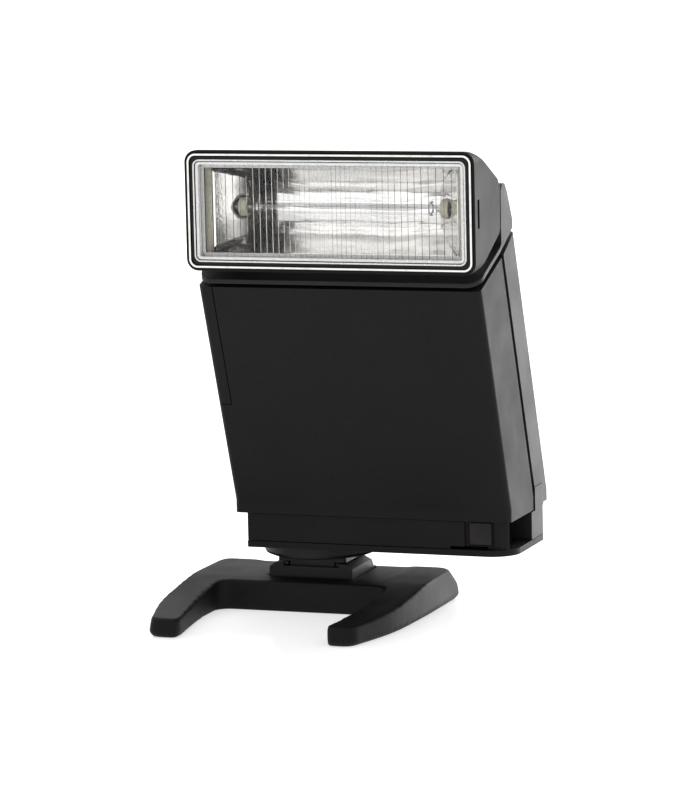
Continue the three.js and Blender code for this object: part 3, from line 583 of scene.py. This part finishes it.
# ---------------------------------------------------------------- head optics
LENS_LOW, LENS_HIGH = corners("fresnel_lens")
BORDER = 0.85  # width of the light-carrying border of the lens
LENS_CORNER = 1.2
GAP = 0.02  # between the border and the clear panel
GROOVE_HALF_WIDTH, GROOVE_DEPTH = 0.09, 0.22


def lens_outline(inset):
    """Points (x, z) round the front outline of the lens, moved inward by inset."""
    radius = max(LENS_CORNER - inset, 0.25)
    arc = 6
    points = []
    for side_x, side_z, start in ((1, -1, -90), (1, 1, 0), (-1, 1, 90), (-1, -1, 180)):
        centre_x = (LENS_HIGH.x - inset - radius) if side_x > 0 else (LENS_LOW.x + inset + radius)
        centre_z = (LENS_HIGH.z - inset - radius) if side_z > 0 else (LENS_LOW.z + inset + radius)
        for i in range(arc + 1):
            angle = math.radians(start + 90 * i / arc)
            points.append((centre_x + radius * math.cos(angle), centre_z + radius * math.sin(angle)))
    return points


def swept_border(name, profile, node, material):
    """A closed profile of (inset, y) swept round the lens."""
    bm = bmesh.new()
    loops = []
    for inset, y in profile:
        loops.append([bm.verts.new((x, y, z)) for x, z in lens_outline(inset)])
    for loop, following in zip(loops, loops[1:] + loops[:1]):
        for i in range(len(loop)):
            j = (i + 1) % len(loop)
            bm.faces.new((loop[i], loop[j], following[j], following[i]))
    thing = built(name, bm, Matrix(), node, material)
    shade_smooth(thing)
    thing.modifiers.new("shading", "WEIGHTED_NORMAL")


def lens_edges():
    """The bright moulded border, the lip in front of it and the gasket behind it."""
    front, back = LENS_LOW.y, LENS_HIGH.y
    border = [(0.02, back), (0.02, front - 0.05), (0.15, front - 0.2), (0.7, front - 0.2), (BORDER, front),
              (BORDER, back)]
    lip = [(-0.15, front - 0.33), (-0.55, front - 0.33), (-0.55, front - 0.45), (-0.45, front - 0.55),
           (-0.2, front - 0.55), (-0.15, front - 0.45)]
    gasket = [(0.7, back + 0.03), (1.75, back + 0.03), (1.75, back + 0.22), (0.7, back + 0.22)]
    swept_border("lens_border", border, "fresnel_lens", lens_border)
    swept_border("lens_lip", lip, "fresnel_lens", lens_border)
    swept_border("lens_gasket", gasket, "lens_frame", lens_border)


def lens_panel():
    """A clear plate with upright prism grooves on its inner face, finer in the middle."""
    left, right = LENS_LOW.x + BORDER + GAP, LENS_HIGH.x - BORDER - GAP
    bottom, top = LENS_LOW.z + BORDER + GAP, LENS_HIGH.z - BORDER - GAP
    face, root = LENS_LOW.y + 0.3, LENS_HIGH.y - 0.5
    middle, half = (left + right) / 2, (right - left) / 2
    grooves = []
    place = 0.5
    while place < half - 0.6:
        grooves += [middle + place, middle - place]
        place += 1.2 + 1.1 * place / half
    ribbed = [(left, root)]
    for x in sorted(grooves):
        ribbed += [(x - GROOVE_HALF_WIDTH, root), (x, root - GROOVE_DEPTH), (x + GROOVE_HALF_WIDTH, root)]
    ribbed.append((right, root))
    bm = bmesh.new()
    prism(bm, [(left, face), *ribbed, (right, face)][::-1], bottom, top)
    built("lens_panel", bm, Matrix(), "fresnel_lens", clear_lens, "fresnel_lens")


def ripple(across, around):
    """Height of the drawn ripples in the reflector, in millimetres."""
    wander = 1.6 * math.sin(0.11 * across) + 0.9 * math.sin(0.27 * across + 2.0)
    coarse = 0.035 * math.sin(17.0 * around + wander)
    fine = 0.016 * math.sin(43.0 * around + 1.7 * wander + 1.0)
    dents = 0.012 * math.sin(0.9 * across + 9.0 * around) * math.sin(0.53 * across - 21.0 * around)
    return coarse + fine + dents


TROUGH_LOW, TROUGH_HIGH = corners("reflector")
MOUTH = TROUGH_LOW.y
TROUGH_DEPTH = TROUGH_HIGH.y - MOUTH + 1.5  # deeper than the CAD's, still clear of the head shell
TROUGH_HALF = (TROUGH_HIGH.z - TROUGH_LOW.z) / 2 - 0.7  # half its height
TROUGH_MIDDLE = (TROUGH_HIGH.z + TROUGH_LOW.z) / 2
FLATNESS = 3.0  # 2 is a parabola, more is flatter at the back
SHEET = 0.4  # thickness of the trough and mirrors
GROMMET = 2.5  # radius of the sleeves round the tube
GROMMET_LENGTH = 2.2
GROMMET_PLACE = 27.0  # from the middle of the tube to a sleeve's inner end


def trough_y(around):
    """How far back the trough is, where around goes from -1 at its lower lip to 1 at its upper lip."""
    return MOUTH + TROUGH_DEPTH * (1 - abs(around) ** FLATNESS)


def reflector():
    """The trough as thin rippled sheet."""
    columns, rows = 150, 72
    bm = bmesh.new()
    grid = []
    for i in range(columns + 1):
        x = TROUGH_LOW.x + (TROUGH_HIGH.x - TROUGH_LOW.x) * i / columns
        column = []
        for j in range(rows + 1):
            around = 2 * j / rows - 1
            rise = math.copysign(FLATNESS * abs(around) ** (FLATNESS - 1), around)
            slope = Vector((0.0, 1.0, rise * TROUGH_DEPTH / TROUGH_HALF)).normalized()
            point = Vector((x, trough_y(around), TROUGH_MIDDLE + TROUGH_HALF * around))
            calm = min(1.0, 6 * (1 - abs(around)))  # the ripples fade out at the lips
            column.append(bm.verts.new(point + slope * ripple(x, around) * calm))
        grid.append(column)
    for i in range(columns):
        for j in range(rows):
            bm.faces.new((grid[i][j], grid[i + 1][j], grid[i + 1][j + 1], grid[i][j + 1]))
    sheet_metal("reflector_trough", bm, "reflector", trough_sheet)


def sheet_metal(name, bm, node, material):
    """A smooth surface, drawn in millimetres, given the thickness of sheet. It stands for the node."""
    thing = built(name, bm, Matrix(), node, material, node)
    shade_smooth(thing)
    thick = thing.modifiers.new("sheet", "SOLIDIFY")
    thick.thickness = SHEET * MM
    thick.offset = 0.0


def end_mirrors():
    """The slanted mirrors at the trough's ends, each cut to the trough's curve and pierced for the tube."""
    tube_low, tube_high = corners("xenon_tube")
    tube = (tube_low + tube_high) / 2
    opening = GROMMET + 0.1
    steps, rows = 24, 6
    for side, material in (("left", painted_reflection_sheet), ("right", clean_sheet)):
        low, high = corners(f"end_mirror_{side}")
        front_x, back_x = (low.x + 0.5, high.x) if side == "left" else (high.x - 0.5, low.x)
        front_y, back_y = MOUTH + 0.3, MOUTH + TROUGH_DEPTH - 0.4
        bm = bmesh.new()
        halves = ([], [])
        for i in range(steps + 1):
            y = front_y + (back_y - front_y) * i / steps
            x = front_x + (back_x - front_x) * i / steps
            reach = TROUGH_HALF * (1 - (y - MOUTH) / TROUGH_DEPTH) ** (1 / FLATNESS) - 0.3
            pierced = math.sqrt(max(0.0, opening**2 - (y - tube.y) ** 2))
            for half, up in zip(halves, (1, -1)):
                rim, hole = TROUGH_MIDDLE + up * reach, tube.z + up * pierced
                half.append([bm.verts.new((x, y, hole + (rim - hole) * k / rows)) for k in range(rows + 1)])
        for half in halves:
            for column, following in zip(half, half[1:]):
                for k in range(rows):
                    bm.faces.new((column[k], following[k], following[k + 1], column[k + 1]))
        bmesh.ops.remove_doubles(bm, verts=bm.verts, dist=0.001)
        sheet_metal(f"end_mirror_{side}_sheet", bm, f"end_mirror_{side}", material)


def tube_grommets():
    """Silicone sleeves round the tube, where it passes through the end mirrors."""
    low, high = corners("xenon_tube")
    radius, middle = (high.z - low.z) / 2, (low + high) / 2
    bore, chamfer = radius + 0.03, 0.2
    chamfered, shoulder = GROMMET - chamfer, GROMMET_LENGTH - chamfer
    rim = [(chamfered, 0.0), (GROMMET, chamfer), (GROMMET, shoulder), (chamfered, GROMMET_LENGTH)]
    outline = [(bore, 0.0), *rim, (bore, GROMMET_LENGTH)]
    for side, name in ((1, "right"), (-1, "left")):
        start = Matrix.Translation(middle + Vector((side * GROMMET_PLACE, 0, 0)))
        place = start @ Matrix.Rotation(side * math.pi / 2, 4, "Y")
        node = f"tube_grommet_{name}"
        built(f"grommet_{name}", turned(outline, closed=True), place, node, cream, node, width=0.05)


def end_flanges():
    """Cream strips that close the gap between the reflector's ends and the lens frame."""
    lip, crest = MOUTH - 0.05, MOUTH - 0.28
    for end, side, name in ((TROUGH_LOW.x, -1, "left"), (TROUGH_HIGH.x, 1, "right")):
        inner = end - side * 0.2
        near, far = sorted((inner, inner + side * 2.4))
        ridge = (near + far) / 2
        outline = [(near, lip), (near, MOUTH - 0.25), (ridge - 0.3, crest), (ridge, MOUTH - 0.2),
                   (ridge + 0.3, crest), (far, MOUTH - 0.25), (far, lip)]
        bm = bmesh.new()
        prism(bm, outline[::-1], TROUGH_LOW.z + 0.2, TROUGH_HIGH.z - 0.2)
        built(f"end_flange_{name}", bm, Matrix(), "tube_grommet_left", cream, width=0.03)


BAND_PLACE, BAND_WIDTH = 24.2, 0.5  # the hoops that hold the trigger wire


def flash_tube():
    """The xenon tube: glass, two electrodes with their seals, and the trigger wire along it."""
    low, high = corners("xenon_tube")
    radius, middle = (high.z - low.z) / 2, (low + high) / 2
    place = Matrix.Translation(middle) @ Matrix.Rotation(math.pi / 2, 4, "Y")
    half = (high.x - low.x) / 2
    end, bore = half - 2.4, radius - 0.35
    tube_envelope(radius, bore, end, place)
    electrodes(bore, end, half, place)

    for side, name in ((1, "right"), (-1, "left")):
        near, far = side * BAND_PLACE, side * (BAND_PLACE - BAND_WIDTH)
        hoop = [(radius + 0.02, near), (radius + 0.3, near), (radius + 0.3, far), (radius + 0.02, far)]
        built(f"trigger_band_{name}", turned(hoop, 32, closed=True), place, "xenon_tube", pin_steel)
    wire = turned([(0, 2 - end), (0.12, 2 - end), (0.12, end - 2), (0, end - 2)], 8)
    behind = Matrix.Translation((0, radius + 0.14, 0))
    built("trigger_wire", wire, behind @ place, "xenon_tube", pin_steel)


def tube_envelope(radius, bore, end, place):
    """The glass, with extra rings near its ends so that smooth shading stays true along its length."""
    outside = [(bore, -end), (radius - 0.12, -end), (radius, -end + 0.15), (radius, -end + 0.5)]
    inside = [(radius, end - 0.5), (radius, end - 0.15), (radius - 0.12, end), (bore, end), (bore, end - 0.3)]
    bm = turned([*outside, *inside, (bore, -end + 0.3)], 40, closed=True)
    shade_smooth(built("tube_glass", bm, place, "xenon_tube", tube_glass, "xenon_tube"))


def electrodes(bore, end, half, place):
    """A wide cathode cup and a thin anode rod, each on a glass-to-metal seal."""
    cup = end - 5.5
    seal = [(0.4, end - 1.0), (bore - 0.03, end - 1.0), (bore - 0.03, end - 0.05), (0.35, end - 0.05)]
    for side, name, tip in (
        (1, "cathode", [(0, cup), (0.9, cup), (1.0, cup + 0.2), (1.0, cup + 2.6), (0.4, cup + 2.9)]),
        (-1, "anode", [(0, cup + 0.6), (0.45, cup + 0.8), (0.5, cup + 2.7), (0.4, cup + 2.9)]),
    ):
        outline = [*tip, *seal, (0.35, half - 0.05), (0, half)]
        electrode = turned([(r, side * h) for r, h in outline], 24)
        built(f"tube_{name}", electrode, place, "xenon_tube", pin_steel, width=0.04)


def head_optics():
    lens_edges()
    lens_panel()
    reflector()
    end_mirrors()
    end_flanges()
    flash_tube()
    tube_grommets()


# ---------------------------------------------------------------- screws, ring and buttons
CROSS, SLOT = 4, 2  # arms of a screw's recess
DRIVE_TOP = -0.02  # the flat of a screw's head, just under its highest place


def screw_sizes(node, outward, end):
    """Length, head radius, height under the head and shank radius, measured on the CAD node."""
    measured = []
    for vertex in frame["nodes"][node].data.vertices:
        offset = vertex.co / MM - end
        height = offset.dot(outward)
        measured.append((height, (offset - outward * height).length))
    length = -min(height for height, _ in measured)
    head = max(radius for _, radius in measured)
    under = min(height for height, radius in measured if radius > 0.8 * head)
    shank = min(0.52 * head, max(radius for height, radius in measured if height < under - 0.5))
    return length, head, under, shank


def recess_outline(arms, flat):
    """The outline of a crossed or slotted recess in a flat of that radius."""
    half = flat * 0.15
    if arms == SLOT:
        reach = flat * 0.9
        return [Vector(c) for c in ((reach, -half), (reach, half), (-reach, half), (-reach, -half))]
    reach = flat * 0.72
    arm = [Vector(c) for c in ((reach, -half), (reach, half), (half, half))]
    return [Matrix.Rotation(quarter * math.pi / 2, 2) @ point for quarter in range(CROSS) for point in arm]


def recessed_screw(node, outward, arms):
    """A screw with a crossed or slotted recess in its domed head."""
    turn, end = seat(node, outward)
    length, head, under, shank = screw_sizes(node, outward, end)
    flat = head * 0.86
    tip = [(0, -length), (shank * 0.7, -length + 0.1), (shank, -length + 0.6)]
    steps = 40
    bm = turned([*tip, (shank, under), (head, under), (head, -0.2), (flat, DRIVE_TOP)], steps)
    rim = list(bm.verts)[-steps:]
    outline = recess_outline(arms, flat)
    depth = min(0.45 * flat, -under * 0.8 + 0.25)
    upper = [bm.verts.new((p.x, p.y, DRIVE_TOP)) for p in outline]
    lower = [bm.verts.new((p.x * 0.8, p.y * 0.8, -depth)) for p in outline]
    edges = []
    for loop in (rim, upper):
        for vertex, following in zip(loop, loop[1:] + loop[:1]):
            edges.append(bm.edges.get((vertex, following)) or bm.edges.new((vertex, following)))
    bmesh.ops.triangle_fill(bm, edges=edges, use_beauty=True)
    for i in range(len(outline)):
        j = (i + 1) % len(outline)
        bm.faces.new((upper[i], upper[j], lower[j], lower[i]))
    bm.faces.new(lower)
    built(f"{node}_recessed", bm, Matrix.Translation(end) @ turn, node, screw_steel, node)


def all_screws():
    for number in (1, 2, 3, 4):
        recessed_screw(f"case_screw_{number}", BACKWARDS, CROSS)
        recessed_screw(f"foot_screw_{number}", UP, CROSS)
    for number in (1, 2):
        recessed_screw(f"shoe_screw_{number}", UP, CROSS)
    recessed_screw("dial_screw", BACKWARDS, SLOT)


def locking_ring():
    """The locking ring, with a very fine milling on its rim."""
    low, high = corners("locking_ring")
    centre = (low + high) / 2
    outer, thick = (high.x - low.x) / 2, high.z - low.z
    vertices = frame["nodes"]["locking_ring"].data.vertices
    bore = min((vertex.co.xy / MM - centre.xy).length for vertex in vertices)
    ridges, milling = 90, 0.03
    rim = [(outer - 0.35, -thick + 0.45), (outer, -thick + 1.1, milling), (outer, -0.4, milling)]
    profile = [(bore, -thick), (outer - 1.4, -thick), *rim, (outer - 0.35, 0.0), (bore, 0.0)]
    bm = turned(profile, 4 * ridges, closed=True)
    built("ring_milled", bm, seated("locking_ring", UP), "locking_ring", deep_black, "locking_ring")


def test_button():
    """The hollow button cap and the ready lamp's dome inside it."""
    bore, outer = 1.6, 3.05
    cap = [(bore, -4.6), (outer, -4.6), (outer, -0.5), (2.9, -0.15), (2.6, 0.0), (2.15, -0.05), (1.7, -0.3)]
    bm = turned([*cap, (bore, -0.5)], 64, closed=True)
    place = seated("test_button", BACKWARDS)
    built("button_cap", bm, place, "test_button", deep_black, "test_button", width=0.04)
    dome = [(0, -4.3), (1.2, -4.3), (1.25, -0.9), (1.15, -0.5), (0.9, -0.22), (0.5, -0.06), (0, 0)]
    place = seated("ready_lamp", BACKWARDS)
    lamp = finish_of("ready_lamp")
    shade_smooth(built("lamp_dome", turned(dome, 40), place, "ready_lamp", lamp, "ready_lamp"))


# ---------------------------------------------------------------- printed scales on the back
PRINT = 0.05  # thickness of printing
SUNK = -0.2  # height of the dial's inner ring, measured from its face
ON_TOP = 0.02  # figures stand this far above the face they are printed on

STOPS = ("1.4", "2", "2.8", "4", "5.6", "8", "11", "16")
STOP_RADIUS, STOP_SIZE = 14.1, 1.9
SPEEDS = ("25", "50", "100", "200", "400", "800", "1600")
SPEED_RADIUS, SPEED_SIZE = 9.2, 1.5
FIGURE_STEP, TICK_STEP = 30, 5  # degrees
LONG_TICK, SHORT_TICK = (12.4, 1.2), (12.2, 0.7)  # radius and length
SPEED_TICK_RADIUS = 7.2
STOP_TICKS, SPEED_TICKS = 49, 37

DISTANCES = ((-45, "1"), (45, "3"), (135, "10"), (-135, "20"))  # degrees and figure, on the plate
DISTANCE_RADIUS, DISTANCE_SIZE = 21.3, 2.4
PLATE_TICK_RADIUS, PLATE_TICK_STEP = 17.65, 15

BARS_BELOW, LINE_BELOW = 4.3, 6.1  # the marks under a switch, measured from its middle


def figures(bm, text, size, place):
    """Adds printed figures to a mesh, centred at place."""
    curve = bpy.data.curves.new("figures", "FONT")
    curve.body = text
    curve.size = size
    curve.extrude = PRINT / 2
    curve.resolution_u = 3
    curve.align_x = "CENTER"
    curve.align_y = "CENTER"
    holder = bpy.data.objects.new("figures", curve)
    mesh = bpy.data.meshes.new_from_object(holder)
    mesh.transform(place)
    bm.from_mesh(mesh)
    bpy.data.objects.remove(holder)
    bpy.data.curves.remove(curve)
    bpy.data.meshes.remove(mesh)


def bar(bm, place, length, width):
    """Adds a printed bar along the local Y of place."""
    before = len(bm.verts)
    half_w, half_l = width / 2, length / 2
    prism(bm, [(-half_w, -half_l), (half_w, -half_l), (half_w, half_l), (-half_w, half_l)], 0.0, PRINT)
    bm.verts.ensure_lookup_table()
    bmesh.ops.transform(bm, matrix=place, verts=bm.verts[before:])


def round_the_dial(degrees, radius, height):
    """A place on a ring about the dial's axis, turned to face outward. 0 degrees is at the top."""
    turn = Matrix.Rotation(math.radians(-degrees), 4, "Z")
    return turn @ Matrix.Translation((0, radius, height))


def fan(count, step):
    """Angles in degrees, step apart and centred on the top of the dial."""
    return [step * (i - (count - 1) / 2) for i in range(count)]


def dial():
    """The calculator dial: ribbed rim and stepped face."""
    low, high = corners("calculator_dial")
    outer, bore, thick, ribs = (high.x - low.x) / 2, 1.9, 1.8, 64
    rim = [(outer - 0.3, -thick), (outer, -1.5, 0.3), (outer, -0.55, 0.3), (outer - 0.7, -0.1)]
    face = [(outer - 1.1, 0.0), (11.4, 0.0), (11.1, SUNK), (6.4, SUNK), (6.1, 0.0), (4.6, 0.0), (4.3, -0.4)]
    bm = turned([(bore, -thick), *rim, *face, (bore, -0.4)], 4 * ribs, closed=True)
    place = seated("calculator_dial", BACKWARDS)
    built("dial_ribbed", bm, place, "calculator_dial", deep_black, "calculator_dial")


def dial_figures():
    """Two rings of generic figures with their ticks."""
    bm = bmesh.new()
    for text, degrees in zip(STOPS, fan(len(STOPS), FIGURE_STEP)):
        figures(bm, text, STOP_SIZE, round_the_dial(degrees, STOP_RADIUS, ON_TOP))
    for i, degrees in enumerate(fan(STOP_TICKS, TICK_STEP)):
        radius, length = SHORT_TICK if i % 4 else LONG_TICK
        bar(bm, round_the_dial(degrees, radius, 0.0), length, 0.14)
    for text, degrees in zip(SPEEDS, fan(len(SPEEDS), FIGURE_STEP)):
        figures(bm, text, SPEED_SIZE, round_the_dial(degrees, SPEED_RADIUS, SUNK + ON_TOP))
    for i, degrees in enumerate(fan(SPEED_TICKS, TICK_STEP)):
        bar(bm, round_the_dial(degrees, SPEED_TICK_RADIUS, SUNK), 0.7 if i % 2 else 1.1, 0.12)
    built("dial_figures", bm, seated("calculator_dial", BACKWARDS), "calculator_dial", ink)


def seated_over(node, surface):
    """The seat of a back control, moved along the control's axis to the outer face of another node."""
    turn, end = seat(node, BACKWARDS)
    top = max(BACKWARDS.dot(vertex.co / MM) for vertex in frame["nodes"][surface].data.vertices)
    return Matrix.Translation(end - BACKWARDS * (BACKWARDS.dot(end) - top)) @ turn


def plate_scale():
    """Distance marks on the plate, all round the dial."""
    place = seated_over("calculator_dial", "scale_plate")
    bm = bmesh.new()
    for degrees in range(0, 360, PLATE_TICK_STEP):
        bar(bm, round_the_dial(degrees, PLATE_TICK_RADIUS, 0.0), 0.7, 0.2)
    for degrees, text in DISTANCES:
        upright = round_the_dial(degrees, DISTANCE_RADIUS, ON_TOP).translation
        figures(bm, text, DISTANCE_SIZE, Matrix.Translation(upright))
    built("plate_figures", bm, place, "scale_plate", ink)


def switch_marks(bm, place, travel):
    """One bar at a switch's rest, two at its other end, and a line under both."""
    for step, count in ((0.0, 1), (travel, 2)):
        for i in range(count):
            across = 0.9 * (i - (count - 1) / 2) - step
            bar(bm, place @ Matrix.Translation((across, -BARS_BELOW, 0.0)), 1.5, 0.35)
    underline = Matrix.Translation((-travel / 2, -LINE_BELOW, 0.0)) @ Matrix.Rotation(math.pi / 2, 4, "Z")
    bar(bm, place @ underline, 11.5, 0.15)


def panel_marks():
    """Marks beside the two switches and a ring round the button."""
    bm = bmesh.new()
    for node, joint in (("power_switch", "power_slide"), ("mode_selector", "mode_slide")):
        switch_marks(bm, seated_over(node, "control_panel"), JOINTS[joint]["range_m"][1] / MM)
    inner, outer = 4.3, 4.6
    ring = turned([(inner, 0.0), (outer, 0.0), (outer, PRINT), (inner, PRINT)], 64, closed=True)
    ring.transform(seated_over("test_button", "control_panel"))
    holder = bpy.data.meshes.new("ring")
    ring.to_mesh(holder)
    ring.free()
    bm.from_mesh(holder)
    bpy.data.meshes.remove(holder)
    built("panel_marks", bm, Matrix(), "control_panel", ink)


finish_cad_nodes()
round_shells()
soft_stand()
head_optics()
all_screws()
locking_ring()
test_button()
dial()
dial_figures()
plate_scale()
panel_marks()


# ---------------------------------------------------------------- camera, light and floor
def make_camera():
    azimuth, elevation = math.radians(CAMERA_AZIMUTH), math.radians(CAMERA_ELEVATION)
    level = math.cos(elevation)
    back = Vector((math.sin(azimuth) * level, -math.cos(azimuth) * level, math.sin(elevation)))
    data = bpy.data.cameras.new("camera")
    data.lens = CAMERA_LENS
    data.sensor_width = 36.0
    data.clip_start = 0.05
    data.clip_end = 100.0
    camera = bpy.data.objects.new("camera", data)
    bpy.context.scene.collection.objects.link(camera)
    camera.location = (CAMERA_AIM + back * CAMERA_DISTANCE) * MM
    camera.rotation_mode = "QUATERNION"
    roll = Quaternion(back, math.radians(CAMERA_ROLL))
    camera.rotation_quaternion = roll @ (-back).to_track_quat("-Z", "Y")
    bpy.context.scene.camera = camera


def area_light(name, place, aim, size, power):
    data = bpy.data.lights.new(name, "AREA")
    data.shape = "RECTANGLE"
    data.size, data.size_y = size
    data.energy = power
    light = bpy.data.objects.new(name, data)
    bpy.context.scene.collection.objects.link(light)
    light.location = place
    light.rotation_mode = "QUATERNION"
    light.rotation_quaternion = (Vector(aim) - Vector(place)).to_track_quat("-Z", "Y")


def make_floor():
    """A white light table, bright enough to hide most of the shadow."""
    finish = Finish("white_floor", Base_Color=rgb(0.8), Roughness=0.12, Specular_IOR_Level=0.35,
                    Emission_Color=rgb(1.0), Emission_Strength=0.55)
    bm = bmesh.new()
    bmesh.ops.create_grid(bm, x_segments=8, y_segments=8, size=8.0)
    mesh = bpy.data.meshes.new("floor")
    bm.to_mesh(mesh)
    bm.free()
    mesh.materials.append(finish.material)
    floor = bpy.data.objects.new("floor", mesh)
    bpy.context.scene.collection.objects.link(floor)


def make_world():
    world = bpy.data.worlds.new("studio")
    world.use_nodes = True
    background = world.node_tree.nodes["Background"]
    background.inputs["Color"].default_value = rgb(1.0)
    background.inputs["Strength"].default_value = 1.0
    bpy.context.scene.world = world


make_camera()
make_floor()
make_world()
area_light("back_light", (0.3, 1.3, 1.5), (0.3, 1.0, 0.0), (2.0, 2.0), 20.0)
area_light("side_light", (0.75, 1.5, 0.45), (0.0, 0.0, 0.06), (0.9, 0.8), 15.0)
bpy.context.scene.view_settings.view_transform = "Standard"
